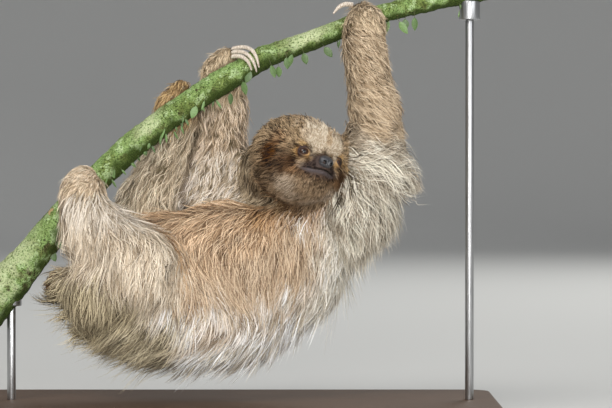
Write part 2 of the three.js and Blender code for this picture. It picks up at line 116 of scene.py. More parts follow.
class Part(Enum):
    """A part of the flesh: its solid, its bones, its coat's depth and its hair's length."""

    HEAD = "head", "", 6.0, 12.0
    NECK = "neck", "neck_base neck_middle nape", 8.0, 17.0
    TRUNK = "trunk", "rump haunch loin belly chest withers shoulders", 13.0, 29.0
    TAIL = "tail", "tail_root tail_tip", 4.0, 13.0
    ARM_UPPER_LEFT = "arm_upper_left", "shoulder_left elbow_left", 10.0, 25.0
    ARM_FORE_LEFT = "arm_fore_left", "elbow_left wrist_left", 6.5, 15.0
    HAND_LEFT = "hand_left", "wrist_left palm_left knuckles_left", 4.0, 10.0
    ARM_UPPER_RIGHT = "arm_upper_right", "shoulder_right elbow_right", 10.0, 22.0
    ARM_FORE_RIGHT = "arm_fore_right", "elbow_right wrist_right", 8.0, 18.0
    HAND_RIGHT = "hand_right", "wrist_right palm_right knuckles_right", 4.0, 9.0
    LEG_THIGH_LEFT = "leg_thigh_left", "hip_left knee_left", 12.0, 33.0
    LEG_SHANK_LEFT = "leg_shank_left", "knee_left ankle_left", 9.0, 27.0
    FOOT_LEFT = "foot_left", "ankle_left instep_left toes_left", 4.5, 13.0
    LEG_THIGH_RIGHT = "leg_thigh_right", "hip_right knee_right", 12.0, 28.0
    LEG_SHANK_RIGHT = "leg_shank_right", "knee_right ankle_right", 9.0, 23.0
    FOOT_RIGHT = "foot_right", "ankle_right instep_right toes_right", 3.5, 9.0

    def __init__(self, node: str, bones: str, depth: float, length: float) -> None:
        """Names the part's values, of which the lengths are in millimetres."""
        self.node, self.bones, self.depth, self.length = node, bones, depth, length


PARTS = list(Part)
INDEX = {part: i for i, part in enumerate(PARTS)}
EXTREMITIES = (Part.HAND_LEFT, Part.HAND_RIGHT, Part.FOOT_LEFT, Part.FOOT_RIGHT)

# Fringes of hair that widen two of the parts, as bones of their own.
FRINGES: dict[Part, str] = {
    Part.LEG_SHANK_LEFT: "shank_fringe ankle_left",
    Part.ARM_UPPER_LEFT: "shoulder_fringe elbow_left",
}

# How the hair lies, as seen from the side. Each row is a place's x and z, the way the hair runs
# there in x and z, and how far that reaches.
LIE: dict[Part, list[tuple[float, float, float, float, float]]] = {
    Part.TRUNK: [
        (-120, 225, -0.9, -0.3, 30), (-60, 228, -1.0, -0.15, 30), (0, 236, -0.9, -0.3, 30),
        (60, 240, -0.5, -0.8, 30), (105, 238, -0.1, -1.0, 28), (-75, 190, 0.2, -1.0, 26),
        (-40, 185, -0.1, -1.0, 26), (-48, 163, 0.75, -0.65, 17), (-22, 148, 0.9, -0.5, 17),
        (5, 134, 0.75, -0.7, 17), (-15, 180, 0.05, -1.0, 17), (20, 160, -0.1, -1.0, 17),
        (40, 185, 0.0, -1.0, 30), (90, 190, -0.15, -1.0, 30), (130, 208, -0.3, -1.0, 25),
        (155, 190, -0.5, -0.85, 25), (-50, 120, -0.2, -1.0, 28), (20, 98, -0.6, -0.8, 26),
        (-20, 70, -0.95, -0.35, 26), (-70, 72, -1.0, -0.25, 26), (80, 118, -0.6, -0.8, 26),
        (118, 145, -0.6, -0.8, 26), (-140, 95, -0.8, -0.6, 30), (-190, 120, -0.9, -0.45, 30),
        (-195, 170, -0.6, -0.8, 25),
    ],
    Part.LEG_SHANK_LEFT: [
        (-185, 248, -0.5, -0.85, 22), (-165, 225, -0.05, -1.0, 22), (-145, 222, 0.35, -0.9, 22),
        (-100, 200, 0.6, -0.8, 25), (-70, 172, 0.25, -1.0, 25), (-150, 180, 0.1, -1.0, 25),
    ],
    Part.LEG_THIGH_LEFT: [
        (-75, 150, -0.05, -1.0, 25), (-110, 130, -0.1, -1.0, 25), (-160, 130, -0.1, -1.0, 25),
        (-190, 150, -0.3, -1.0, 25), (-140, 95, -0.45, -0.9, 25),
    ],
    Part.ARM_UPPER_LEFT: [
        (140, 335, 0.9, -0.2, 22), (175, 340, 0.95, -0.3, 22), (150, 300, 0.95, 0.1, 22),
        (185, 315, 1.0, -0.05, 22), (185, 280, 1.0, -0.3, 22), (150, 255, 0.6, -0.8, 22),
        (185, 245, 0.7, -0.7, 22), (130, 230, 0.1, -1.0, 22), (155, 215, 0.2, -1.0, 22),
    ],
    Part.ARM_FORE_LEFT: [(150, 430, 0.8, -0.6, 30), (155, 390, 0.97, -0.25, 30), (160, 350, 0.9, -0.4, 30)],
    Part.HAND_LEFT: [(150, 460, 0.35, -0.9, 40)],
    Part.ARM_FORE_RIGHT: [(-10, 350, 0.15, -1.0, 40), (-25, 280, -0.25, -1.0, 40)],
    Part.ARM_UPPER_RIGHT: [(60, 250, -0.7, -0.7, 60)],
    Part.HAND_RIGHT: [(-15, 400, -0.2, -1.0, 40)],
    Part.LEG_SHANK_RIGHT: [(-80, 320, -0.3, -1.0, 40), (-100, 260, -0.6, -0.8, 40)],
    Part.LEG_THIGH_RIGHT: [(-120, 190, -0.3, -1.0, 60)],
    Part.FOOT_LEFT: [(-170, 270, -0.7, -0.6, 40)],
    Part.FOOT_RIGHT: [(-70, 365, -0.4, -0.9, 40)],
    Part.NECK: [(60, 260, -0.5, -0.9, 60)],
    Part.TAIL: [(-205, 155, -1.0, -0.2, 40)],
}

# ------------------------------------------------------------------ colours

# Each marking has three colours: the dark of its gaps, its middle, and its lightest hairs.
Tones = tuple[Colour, Colour, Colour]
BELLY: Tones = ((0.118, 0.06, 0.026), (0.425, 0.268, 0.148), (0.8, 0.59, 0.395))
FLANK: Tones = ((0.143, 0.086, 0.048), (0.397, 0.275, 0.173), (0.591, 0.45, 0.313))
BACK: Tones = ((0.294, 0.23, 0.15), (0.778, 0.672, 0.492), (0.97, 0.97, 0.958))
RUMP: Tones = ((0.012, 0.008, 0.003), (0.095, 0.07, 0.033), (0.5, 0.42, 0.27))
LEG: Tones = ((0.161, 0.113, 0.067), (0.534, 0.418, 0.291), (0.801, 0.696, 0.557))
SHANK: Tones = ((0.227, 0.173, 0.112), (0.553, 0.455, 0.34), (0.763, 0.683, 0.584))
CREAM: Tones = ((0.055, 0.041, 0.022), (0.4, 0.347, 0.257), (0.83, 0.775, 0.655))
UPPER_ARM: Tones = ((0.055, 0.036, 0.02), (0.213, 0.163, 0.11), (0.406, 0.33, 0.246))
FOREARM: Tones = ((0.067, 0.043, 0.02), (0.338, 0.238, 0.142), (0.593, 0.466, 0.324))
HAND: Tones = ((0.144, 0.106, 0.049), (0.512, 0.384, 0.248), (0.768, 0.616, 0.431))
FOOT: Tones = ((0.33, 0.25, 0.15), (0.70, 0.54, 0.37), (0.90, 0.76, 0.59))
FAR_ARM: Tones = ((0.164, 0.122, 0.064), (0.507, 0.371, 0.242), (0.8, 0.651, 0.496))
FAR_LEG: Tones = ((0.145, 0.111, 0.058), (0.499, 0.389, 0.262), (0.839, 0.717, 0.547))
NAPE: Tones = ((0.028, 0.018, 0.009), (0.172, 0.124, 0.07), (0.38, 0.3, 0.2))
TAIL: Tones = ((0.02, 0.009, 0.004), (0.07, 0.036, 0.017), (0.19, 0.115, 0.062))
CROWN: Tones = ((0.024, 0.014, 0.006), (0.148, 0.093, 0.046), (0.40, 0.285, 0.17))
FOREHEAD: Tones = ((0.34, 0.255, 0.17), (0.475, 0.365, 0.245), (0.68, 0.585, 0.455))
CHEEK: Tones = ((0.009, 0.005, 0.002), (0.063, 0.033, 0.015), (0.139, 0.079, 0.04))
PALE_CHEEK: Tones = ((0.052, 0.031, 0.016), (0.192, 0.126, 0.07), (0.304, 0.211, 0.13))
EYE_STRIPE: Tones = ((0.009, 0.004, 0.001), (0.028, 0.012, 0.004), (0.059, 0.027, 0.01))
ORANGE: Tones = ((0.219, 0.104, 0.03), (0.439, 0.247, 0.091), (0.638, 0.427, 0.198))
MUZZLE: Tones = ((0.01, 0.006, 0.005), (0.037, 0.021, 0.016), (0.073, 0.048, 0.04))
CHIN: Tones = ((0.025, 0.013, 0.009), (0.055, 0.032, 0.022), (0.105, 0.067, 0.046))
WARM_BELLY: Tones = ((0.12, 0.055, 0.018), (0.335, 0.16, 0.055), (0.52, 0.3, 0.13))
FAR_FOOT: Tones = ((0.088, 0.05, 0.021), (0.338, 0.21, 0.092), (0.65, 0.456, 0.231))
EAR: Tones = ((0.006, 0.002, 0.001), (0.032, 0.011, 0.001), (0.094, 0.034, 0.004))
LIGHT_CHEEK: Tones = ((0.097, 0.067, 0.041), (0.279, 0.21, 0.144), (0.437, 0.348, 0.259))
RUSSET: Tones = ((0.055, 0.024, 0.009), (0.165, 0.082, 0.036), (0.319, 0.18, 0.086))
# Dark tones that paint shade, in the crevice under the head and between the far limbs, and also colour the
# real dark dapples on the sides of the face.
SHADE_AND_DAPPLE: Tones = ((0.014, 0.008, 0.004), (0.055, 0.035, 0.019), (0.15, 0.1, 0.058))
THROAT: Tones = ((0.072, 0.036, 0.014), (0.18, 0.104, 0.049), (0.342, 0.224, 0.119))
LID: Colour = (0.030, 0.015, 0.014)


def ease(low: float, high: float, value: Array) -> Array:
    """Rises smoothly from 0 at low to 1 at high."""
    t = np.clip((value - low) / (high - low), 0, 1)
    return t * t * (3 - 2 * t)


def unit(vectors: Array) -> Array:
    """Vectors scaled to length 1."""
    return vectors / np.maximum(np.linalg.norm(vectors, axis=-1, keepdims=True), 1e-9)


def bell(value: Array, width: float) -> Array:
    """1 where the value is 0, falling away smoothly on both sides over a width."""
    return np.exp(-((value / width) ** 2))


def of_parts(labels: Array, *parts: Part) -> Array:
    """Which labels belong to any of these parts."""
    return np.isin(labels, [INDEX[part] for part in parts])


def drift(points: Array, scale: float, seed: int) -> Array:
    """A soft random pattern from about -1 to 1.

    Args:
        points: places in millimetres, one to a row.
        scale: the size of its patches in millimetres.
        seed: which pattern.

    Returns:
        One value for each place.
    """
    rng = np.random.default_rng(seed)
    total = np.zeros(len(points))
    for _ in range(7):
        wave = unit(rng.normal(size=3)) * rng.uniform(0.7, 1.6) * 2 * math.pi / (2.2 * scale)
        total += np.sin(points @ wave + rng.uniform(0, 2 * math.pi))
    return np.clip(total / 3.2, -1.3, 1.3)


@dataclass(frozen=True)
class HeadAxes:
    """The head's own axes: forwards to the face, to the animal's left, and up to the crown."""

    centre: tuple[float, float, float] = (71.3, -40, 292.1)
    yaw: float = 35
    pitch: float = 3
    roll: float = 15.4

    @property
    def turn(self) -> Array:
        """The rotation whose columns are the head's axes."""
        yaw, pitch, roll = (math.radians(a) for a in (self.yaw, -self.pitch, -self.roll))
        ahead = np.array([math.sin(yaw), -math.cos(yaw), 0])
        base = np.stack([ahead, [-ahead[1], ahead[0], 0], [0, 0, 1]], axis=1)
        c, s = math.cos(pitch), math.sin(pitch)
        nod = np.array([[c, 0, s], [0, 1, 0], [-s, 0, c]])
        c, s = math.cos(roll), math.sin(roll)
        tilt = np.array([[1, 0, 0], [0, c, -s], [0, s, c]])
        return base @ nod @ tilt

    def local(self, points: Array) -> Array:
        """Places in the part's frame, given in the head's axes."""
        return (points - np.array(self.centre)) @ self.turn

    def world(self, points: Array) -> Array:
        """Places in the head's axes, given in the part's frame."""
        return points @ self.turn.T + np.array(self.centre)


HEAD = HeadAxes()
EYE_SPOT = np.array([44.2, 22.3, 1.5])
EYE_RADIUS = 7.0
NOSE_SPOT = np.array([59.2, 0.0, -4.6])
HEAD_REACH = 75  # nothing of the head is further than this from its middle
HEAD_ROUND = 53  # the radius of the ball that the face's markings are laid out on
MOUTH_HALF = 33  # from the middle of the mouth to its corner
LIP: Colour = (0.070, 0.060, 0.066)


@dataclass(frozen=True)
class Anatomy:
    """Says which part of the animal a place belongs to, and where along it."""

    def chain(self, names: str) -> Array:
        """Some joints as rows of x, y, z and radius."""
        return np.array([JOINTS[name] for name in names.split()], dtype=float)

    def measure(self, points: Array, names: str) -> tuple[Array, Array, Array]:
        """Measures places against a chain of bones.

        Args:
            points: places in millimetres.
            names: the chain's joints.

        Returns:
            The distance outside the chain's form, how far along it from 0 to 1, and the way the
            nearest bone runs.
        """
        joints = self.chain(names)
        lengths = np.linalg.norm(np.diff(joints[:, :3], axis=0), axis=1)
        best = np.full(len(points), 1e9)
        along = np.zeros(len(points))
        way = np.zeros_like(points)
        for i, length in enumerate(lengths):
            a, b = joints[i], joints[i + 1]
            axis = (b[:3] - a[:3]) / length
            t = np.clip((points - a[:3]) @ axis / length, 0, 1)
            off = points - (a[:3] + np.outer(t, b[:3] - a[:3]))
            distance = np.linalg.norm(off, axis=1) - (a[3] + t * (b[3] - a[3]))
            nearer = distance < best
            best = np.where(nearer, distance, best)
            along = np.where(nearer, (lengths[:i].sum() + t * length) / lengths.sum(), along)
            way[nearer] = axis
        return best, along, way

    def label(self, points: Array) -> Array:
        """The index in PARTS of the part that each place is nearest to."""
        columns = [self.outside(points, part) for part in PARTS]
        return np.argmin(np.stack(columns, axis=1), axis=1)

    def outside(self, points: Array, part: Part) -> Array:
        """How far places are outside a part's form."""
        if part is Part.HEAD:
            return (np.linalg.norm((HEAD.local(points) - [-1, 0, 4]) / [52, 54.5, 49], axis=1) - 1) * 50
        distance = self.measure(points, part.bones)[0]
        if part in FRINGES:
            distance = np.minimum(distance, self.measure(points, FRINGES[part])[0])
        return distance

    def unwrap(self, points: Array, part: Part) -> Array:
        """Lays the skin of a part out flat, by length along it and angle round it."""
        if part is Part.HEAD:
            f, l, u = HEAD.local(points).T
            flat = [0.5 + np.arctan2(l, f) / (2 * math.pi), 0.5 + np.arctan2(u, np.hypot(f, l)) / math.pi]
            return np.stack(flat, axis=1)
        joints = self.chain(part.bones)
        _, along, way = self.measure(points, part.bones)
        across = unit(np.cross(way, [0.0, 1.0, 0.05]))
        third = np.cross(way, across)
        nearest = joints[0, :3] + np.outer(along, joints[-1, :3] - joints[0, :3])
        off = points - nearest
        angle = np.arctan2((off * third).sum(1), (off * across).sum(1))
        return np.stack([along, 0.5 + angle / (2 * math.pi)], axis=1)


ANATOMY = Anatomy()


@dataclass(frozen=True)
class Markings:
    """The coat's colours, which the skin shares."""

    def on_face(self, local: Array) -> Array:
        """Colours of the head.

        Args:
            local: places in the head's axes.

        Returns:
            For each place three colours: dark, middle and light.
        """
        f, l, u = local.T
        side = np.abs(l)
        rough = 2.2 * drift(local, 7, 11)
        half = HEAD_ROUND * unit(np.stack([f, side, u], axis=1))
        eye = eye_ring(HEAD.world(local))

        def spot(centre: tuple[float, float, float], reach: float) -> Array:
            """How strongly each place belongs to a soft round patch."""
            off = np.linalg.norm(half - HEAD_ROUND * unit(np.array(centre)), axis=1)
            return ease(1.35, 0.55, (off + rough) / reach)

        brow = u - 0.55 * np.maximum(side - 13, 0)
        band = ease(4, 12, brow + 1.3 * rough) * ease(54, 42, u + 0.5 * side + 1.3 * rough)
        band = band * ease(36, 20, side + 1.6 * rough) * ease(10, 24, f)
        band = band * (1 - 0.35 * ease(-0.1, 0.8, drift(local, 6, 15)))
        bridge = 0.6 * ease(20, 16, side + 0.4 * rough) * ease(9, 13, side)
        bridge = bridge * ease(-7, 0, u) * ease(40, 46, f)
        parting = 0.3 * ease(5, 1.5, np.abs(l - 4) + 0.6 * rough)
        parting = parting * ease(12, 18, u) * ease(40, 32, u)
        rims = 0.85 * ease(1.9, 1.35, eye + 0.1 * rough) * ease(15, 20, side - 0.5 * u)
        rims = rims * (0.45 + 0.55 * ease(-6, -1, u)) * ease(-14, -7, u)
        snout = ease(6, -5, side - 13 - 0.75 * np.clip(-u, 0, 13) + 0.5 * rough)
        snout = snout * ease(-22, -16, u + 0.3 * rough) * ease(9, 3, u + 0.35 * side)
        chin = 0.85 * ease(1.3, 0.6, np.hypot(side / 19, (u + 18) / 6) + 0.05 * rough)
        dapple = 0.75 * ease(0.0, 0.7, drift(local, 5, 14))
        jowl = spot((25, 25, -30), 12)
        left = l > 0
        layers: list[tuple[Tones, Array]] = [
            (THROAT, ease(-26, -44, u + rough) * ease(22, -10, f)),
            (CHEEK, ease(12, -8, u + rough) * ease(-22, 0, f)),
            # Real dark dapples on the sides of the face, in the tones that paint shade elsewhere.
            (SHADE_AND_DAPPLE, dapple * ease(34, 44, side)),
            (PALE_CHEEK, ease(-20, -32, u + rough) * ease(-5, 12, f)),
            (LIGHT_CHEEK, 0.9 * jowl + 0.6 * spot((20, 12, -38), 11) * (1 - jowl)),
            (NAPE, 0.8 * ease(-18, -40, f + rough)),
            (EAR, spot((17, 50, -2), 12)),
            (RUSSET, 0.5 * spot((23, 46, 12), 12)),
            (FOREHEAD, band),
            (FOREHEAD, bridge),
            (LIGHT_CHEEK, 0.8 * spot((43, 24, -9.5), 6.5)),
            (ORANGE, parting),
            (ORANGE, rims),
            (RUSSET, 0.75 * spot((37, 31, -14), 9)),
            (CROWN, 0.55 * ease(12, 0, f + rough) * ease(-34, -20, u)),
            (ORANGE, 0.5 * spot((30, 42, 2), 10) * left),
            (RUSSET, 0.6 * spot((26, 44, -9), 9) * left),
            (LIGHT_CHEEK, 0.5 * left * ease(38, 46, side + rough)),
            (EYE_STRIPE, self.stripe(half, rough)),
            (MUZZLE, snout * ease(38, 44, f)),
            (CHIN, chin * ease(36, 44, f)),
        ]
        return self.layered(CROWN, layers)

    @staticmethod
    def stripe(half: Array, rough: Array) -> Array:
        """How dark the band is that runs from the eye back and down across the cheek."""
        stops = [(41, 33, -9), (36, 36, -13), (25, 42, -21), (10, 45, -28)]
        path = HEAD_ROUND * unit(np.array(stops, dtype=float))
        shade = np.zeros(len(half))
        for i, (a, b) in enumerate(zip(path[:-1], path[1:])):
            t = np.clip((half - a) @ (b - a) / ((b - a) @ (b - a)), 0, 1)
            off = np.linalg.norm(half - a - np.outer(t, b - a), axis=1)
            width = 5.0 + 2.6 * (i + t)
            here = ease(1.4, 0.5, (off + 0.8 * rough) / width) * (1 - 0.22 * (i + t))
            shade = np.maximum(shade, here)
        return shade

    @staticmethod
    def layered(base: Tones, layers: Sequence[tuple[Tones, Array]]) -> Array:
        """Lays markings over a base colour, each by its own strength."""
        count = len(layers[0][1])
        colours = np.tile(np.array(base), (count, 1, 1))
        for tones, strength in layers:
            colours += strength[:, None, None] * (np.array(tones)[None] - colours)
        return colours

    def on_body(self, points: Array, up: Array, labels: Array) -> Array:
        """Colours of everything but the head.

        Args:
            points: places in millimetres.
            up: how far the skin there faces up, from -1 to 1.
            labels: the part each place belongs to.

        Returns:
            For each place three colours: dark, middle and light.
        """
        x, _, z = points.T
        rough = drift(points, 16, 21)

        def on(*parts: Part) -> Array:
            """1 on these parts, and 0 elsewhere."""
            return of_parts(labels, *parts).astype(float)

        rump = ease(-125, -190, x + 0.35 * (z - 100) + 12 * rough)
        low = ease(0.3, -0.75, up + 0.25 * rough)
        belly = ease(0.45, 0.85, up + 0.15 * rough)
        arm = on(Part.ARM_UPPER_LEFT)
        far_arm = on(Part.ARM_FORE_RIGHT, Part.ARM_UPPER_RIGHT)
        far_leg = on(Part.LEG_SHANK_RIGHT, Part.LEG_THIGH_RIGHT)
        arms = (Part.ARM_FORE_RIGHT, Part.ARM_UPPER_RIGHT)
        off_leg = ANATOMY.outside(points, Part.LEG_SHANK_RIGHT)
        off_arm = np.minimum(*(ANATOMY.outside(points, part) for part in arms))
        # Painted shade in the crevice where the far arm and the far leg meet.
        groove = ease(9, 1, np.abs(off_leg - off_arm)) * (far_arm + far_leg)
        # Painted shade in the crevice where the neck and chest meet the underside of the head.
        shade_under_chin = ease(30, 10, ANATOMY.outside(points, Part.HEAD))
        shade_under_chin = shade_under_chin * ease(88, 70, x) * ease(282, 268, z)
        keel = z - 125 + 0.52 * (x + 120)
        # Painted shade on the flank beside the near thigh, drawn in the warm belly tones.
        shade_beside_leg = ease(15, 2, ANATOMY.outside(points, Part.LEG_THIGH_LEFT)) * on(Part.TRUNK)
        chest = x + 10 * rough + 0.2 * (230 - z)
        warm = ease(203, 226, z + 5 * rough) * ease(0, 22, x) * ease(112, 90, x)
        under = ease(12, -12, keel + 9 * rough) * ease(-48, -80, x)
        layers: list[tuple[Tones, Array]] = [
            (BACK, low),
            (BELLY, belly),
            (BELLY, 0.75 * ease(212, 232, z + 5 * rough) * ease(-90, -40, x)),
            (WARM_BELLY, 0.75 * warm),
            (CREAM, 0.85 * ease(88, 132, chest)),
            (BACK, 0.3 * ease(92, 125, chest)),
            (RUMP, 0.85 * rump * on(Part.TRUNK)),
            (LEG, on(Part.LEG_THIGH_LEFT)),
            (SHANK, on(Part.LEG_SHANK_LEFT)),
            (LEG, on(Part.LEG_SHANK_LEFT) * ease(225, 200, z + 8 * rough)),
            (FOOT, on(Part.FOOT_LEFT)),
            (FAR_LEG, far_leg),
            (FAR_FOOT, on(Part.FOOT_RIGHT)),
            (FAR_FOOT, 0.7 * on(Part.LEG_SHANK_RIGHT) * ease(318, 340, z)),
            (CREAM, arm),
            (FOREARM, arm * ease(298, 330, z + 14 * rough)),
            (UPPER_ARM, 0.7 * arm * ease(-0.1, 0.5, drift(points, 11, 33))),
            (FOREARM, on(Part.ARM_FORE_LEFT)),
            (HAND, on(Part.HAND_LEFT, Part.HAND_RIGHT)),
            (FAR_ARM, far_arm),
            (BACK, 0.4 * far_arm * ease(312, 280, z)),
            (NAPE, on(Part.NECK)),
            (TAIL, on(Part.TAIL)),
            (RUMP, 0.92 * under * (1 - on(Part.TAIL))),
            # Painted shade in the crevice between the far arm and the far leg.
            (SHADE_AND_DAPPLE, 0.8 * groove),
            # Painted shade beside the near thigh.
            (WARM_BELLY, 0.6 * shade_beside_leg * ease(-110, -90, x)),
            # Painted shade under the head.
            (SHADE_AND_DAPPLE, 0.95 * shade_under_chin),
        ]
        return self.layered(FLANK, layers)

    def tones(self, points: Array, up: Array, labels: Array) -> Array:
        """The three colours of the coat at any places on the animal."""
        colours = self.on_body(points, up, labels)
        head = of_parts(labels, Part.HEAD)
        if head.any():
            colours[head] = self.on_face(HEAD.local(points[head]))
        return colours


MARKINGS = Markings()

# ------------------------------------------------------------------ shaders


class Shader:
    """A material under construction, with a Principled surface."""

    def __init__(self, name: str, **sockets: float | Colour) -> None:
        """Starts a material.

        Args:
            name: the material's name.
            **sockets: values for the surface's own sockets, with underscores for spaces.
        """
        self.material = bpy.data.materials.new(name)
        self.material.use_nodes = True
        self.tree = self.material.node_tree
        self.surface = self.tree.nodes["Principled BSDF"]
        for key, value in sockets.items():
            socket = self.surface.inputs[key.replace("_", " ")]
            socket.default_value = (*value, 1.0) if isinstance(value, tuple) and len(value) == 3 else value

    def add(self, kind: str, settings: dict[str, object] | None = None, **inputs: object) -> Node:
        """Adds a node.

        Args:
            kind: the node's type.
            settings: its properties.
            **inputs: its sockets by name, each a value or another node's output.

        Returns:
            The node.
        """
        node = self.tree.nodes.new(kind)
        for key, value in (settings or {}).items():
            setattr(node, key, value)
        for key, value in inputs.items():
            self.feed(node.inputs[key.replace("_", " ")], value)
        return node

    def feed(self, socket: NodeSocket, value: object) -> None:
        """Gives a socket a value, or links an output to it."""
        if isinstance(value, NodeSocket):
            self.tree.links.new(value, socket)
        elif isinstance(value, tuple) and len(value) == 3 and socket.type == "RGBA":
            socket.default_value = (*value, 1.0)
        else:
            socket.default_value = value

    def place(self) -> NodeSocket:
        """The place on the object, in metres."""
        return self.add("ShaderNodeTexCoord").outputs["Object"]

    def noise(
        self, scale: float, detail: float = 4, where: object = None, **inputs: object
    ) -> NodeSocket:
        """A noise pattern's value."""
        where = where if where is not None else self.place()
        node = self.add("ShaderNodeTexNoise", Vector=where, Scale=scale, Detail=detail, **inputs)
        return node.outputs["Fac"]

    def stretched(self, size: tuple[float, float, float]) -> NodeSocket:
        """The place on the object, scaled by a different amount along each axis."""
        return self.add("ShaderNodeMapping", Vector=self.place(), Scale=size).outputs["Vector"]

    def scale(self, factor: object, places: Sequence[float], *colours: Colour) -> NodeSocket:
        """A colour that follows a factor through some colours, at one place each."""
        return self.ramp(factor, list(zip(places, colours)))

    def ramp(self, factor: object, stops: Sequence[tuple[float, Colour]]) -> NodeSocket:
        """A colour that follows a factor through some stops."""
        node = self.add("ShaderNodeValToRGB", Fac=factor)
        band = node.color_ramp
        while len(band.elements) < len(stops):
            band.elements.new(0.5)
        for element, (place, colour) in zip(band.elements, stops):
            element.position = place
            element.color = (*colour, 1.0)
        return node.outputs["Color"]

    def mix(self, factor: object, a: object, b: object, how: str = "MIX") -> NodeSocket:
        """A blend of two colours."""
        node = self.add("ShaderNodeMix", {"data_type": "RGBA", "blend_type": how})
        for socket, value in zip((node.inputs[0], node.inputs[6], node.inputs[7]), (factor, a, b)):
            self.feed(socket, value)
        return node.outputs[2]

    def times(self, a: object, b: object) -> NodeSocket:
        """Two colours multiplied."""
        return self.mix(1.0, a, b, "MULTIPLY")

    def mask(self, factor: object, low: float, high: float, top: float = 1.0) -> NodeSocket:
        """A grey that rises from 0 to top while a factor goes from low to high."""
        return self.ramp(factor, [(low, (0, 0, 0)), (high, (top, top, top))])

    def tint(self) -> NodeSocket:
        """The colours painted on the vertices."""
        return self.add("ShaderNodeVertexColor", {"layer_name": TINT}).outputs["Color"]

    def between(self, factor: object, low: float, high: float) -> NodeSocket:
        """A factor from 0 to 1, spread over another range."""
        return self.add("ShaderNodeMapRange", Value=factor, To_Min=low, To_Max=high).outputs["Result"]

    def bump(
        self, height: object, distance: float, strength: float, over: object = None
    ) -> NodeSocket:
        """Roughens the surface by a height, and over another bump if one is given."""
        node = self.add("ShaderNodeBump", Height=height, Distance=distance, Strength=strength)
        if over is not None:
            self.feed(node.inputs["Normal"], over)
        return node.outputs["Normal"]

    def finish(
        self, colour: object, roughness: object = None, normal: object = None
    ) -> Material:
        """Links what was made to the surface, and returns the material."""
        for key, value in (("Base Color", colour), ("Roughness", roughness), ("Normal", normal)):
            if value is not None:
                self.feed(self.surface.inputs[key], value)
        return self.material


@dataclass(frozen=True)
class CoatFinish:
    """Hair whose colour follows each lock from root to tip."""

    name: str = "coat_hair"
    sheen: float = 0.03

    def material(self) -> Material:
        """Makes the material."""
        s = Shader(
            self.name, Roughness=0.6, Specular_IOR_Level=0.11, Sheen_Weight=self.sheen, Sheen_Roughness=0.5
        )
        tint = s.tint()
        fleck = s.ramp(s.noise(900, 3), [(0.25, (0.78, 0.77, 0.76)), (0.75, (1.14, 1.14, 1.14))])
        return s.finish(s.times(tint, fleck))


@dataclass(frozen=True)
class SkinFinish:
    """Skin under the coat, with the coat's markings, and bare on the lids and lips."""

    name: str = "skin"

    def material(self) -> Material:
        """Makes the material."""
        s = Shader(self.name, Specular_IOR_Level=0.25)
        tint = s.tint()
        pores = s.noise(1500, 5)
        folds = s.noise(420, 6)
        colour = s.times(tint, s.ramp(pores, [(0.3, (0.72, 0.70, 0.70)), (0.7, (1.15, 1.15, 1.15))]))
        normal = s.bump(pores, 0.0004, 0.5, s.bump(folds, 0.0009, 0.5))
        return s.finish(colour, s.between(pores, 0.42, 0.68), normal)


@dataclass(frozen=True)
class NoseFinish:
    """Damp, finely pebbled dark skin."""

    def material(self) -> Material:
        """Makes the material."""
        s = Shader("nose_leather", Specular_IOR_Level=0.6, Coat_Weight=0.25, Coat_Roughness=0.25)
        cells = s.add("ShaderNodeTexVoronoi", Vector=s.place(), Scale=1300.0).outputs["Distance"]
        tone = s.ramp(s.noise(260, 4), [(0.3, (0.018, 0.018, 0.021)), (0.7, (0.055, 0.055, 0.062))])
        # The vertex colours are painted shade: near black inside the nostrils and their slits, white
        # elsewhere.
        inside = s.tint()
        return s.finish(s.times(tone, inside), s.between(cells, 0.26, 0.5), s.bump(cells, 0.0003, 0.6))


@dataclass(frozen=True)
class EyeFinish:
    """A wet eye with a deep brown iris round a black pupil."""

    def material(self) -> Material:
        """Makes the material."""
        s = Shader("eye_wet", Roughness=0.4, Specular_IOR_Level=0.12, Coat_Weight=0.6, Coat_Roughness=0.03)
        ring = s.tint()
        streaks = s.ramp(s.noise(1400, 6), [(0.35, (0.55, 0.5, 0.5)), (0.7, (1.5, 1.45, 1.4))])
        return s.finish(s.times(ring, streaks))


@dataclass(frozen=True)
class HornFinish:
    """Pale horn with faint long ridges, in darker and paler streaks."""

    def material(self) -> Material:
        """Makes the material."""
        s = Shader("claw_horn", Specular_IOR_Level=0.45, Coat_Weight=0.08, Coat_Roughness=0.3)
        grain = s.noise(340, 6, s.stretched((4.5, 1.0, 1.0)))
        colour = s.scale(
            grain, (0.3, 0.5, 0.7), (0.30, 0.22, 0.15), (0.55, 0.475, 0.39), (0.79, 0.73, 0.65)
        )
        return s.finish(colour, s.between(grain, 0.5, 0.32), s.bump(grain, 0.0006, 0.5))


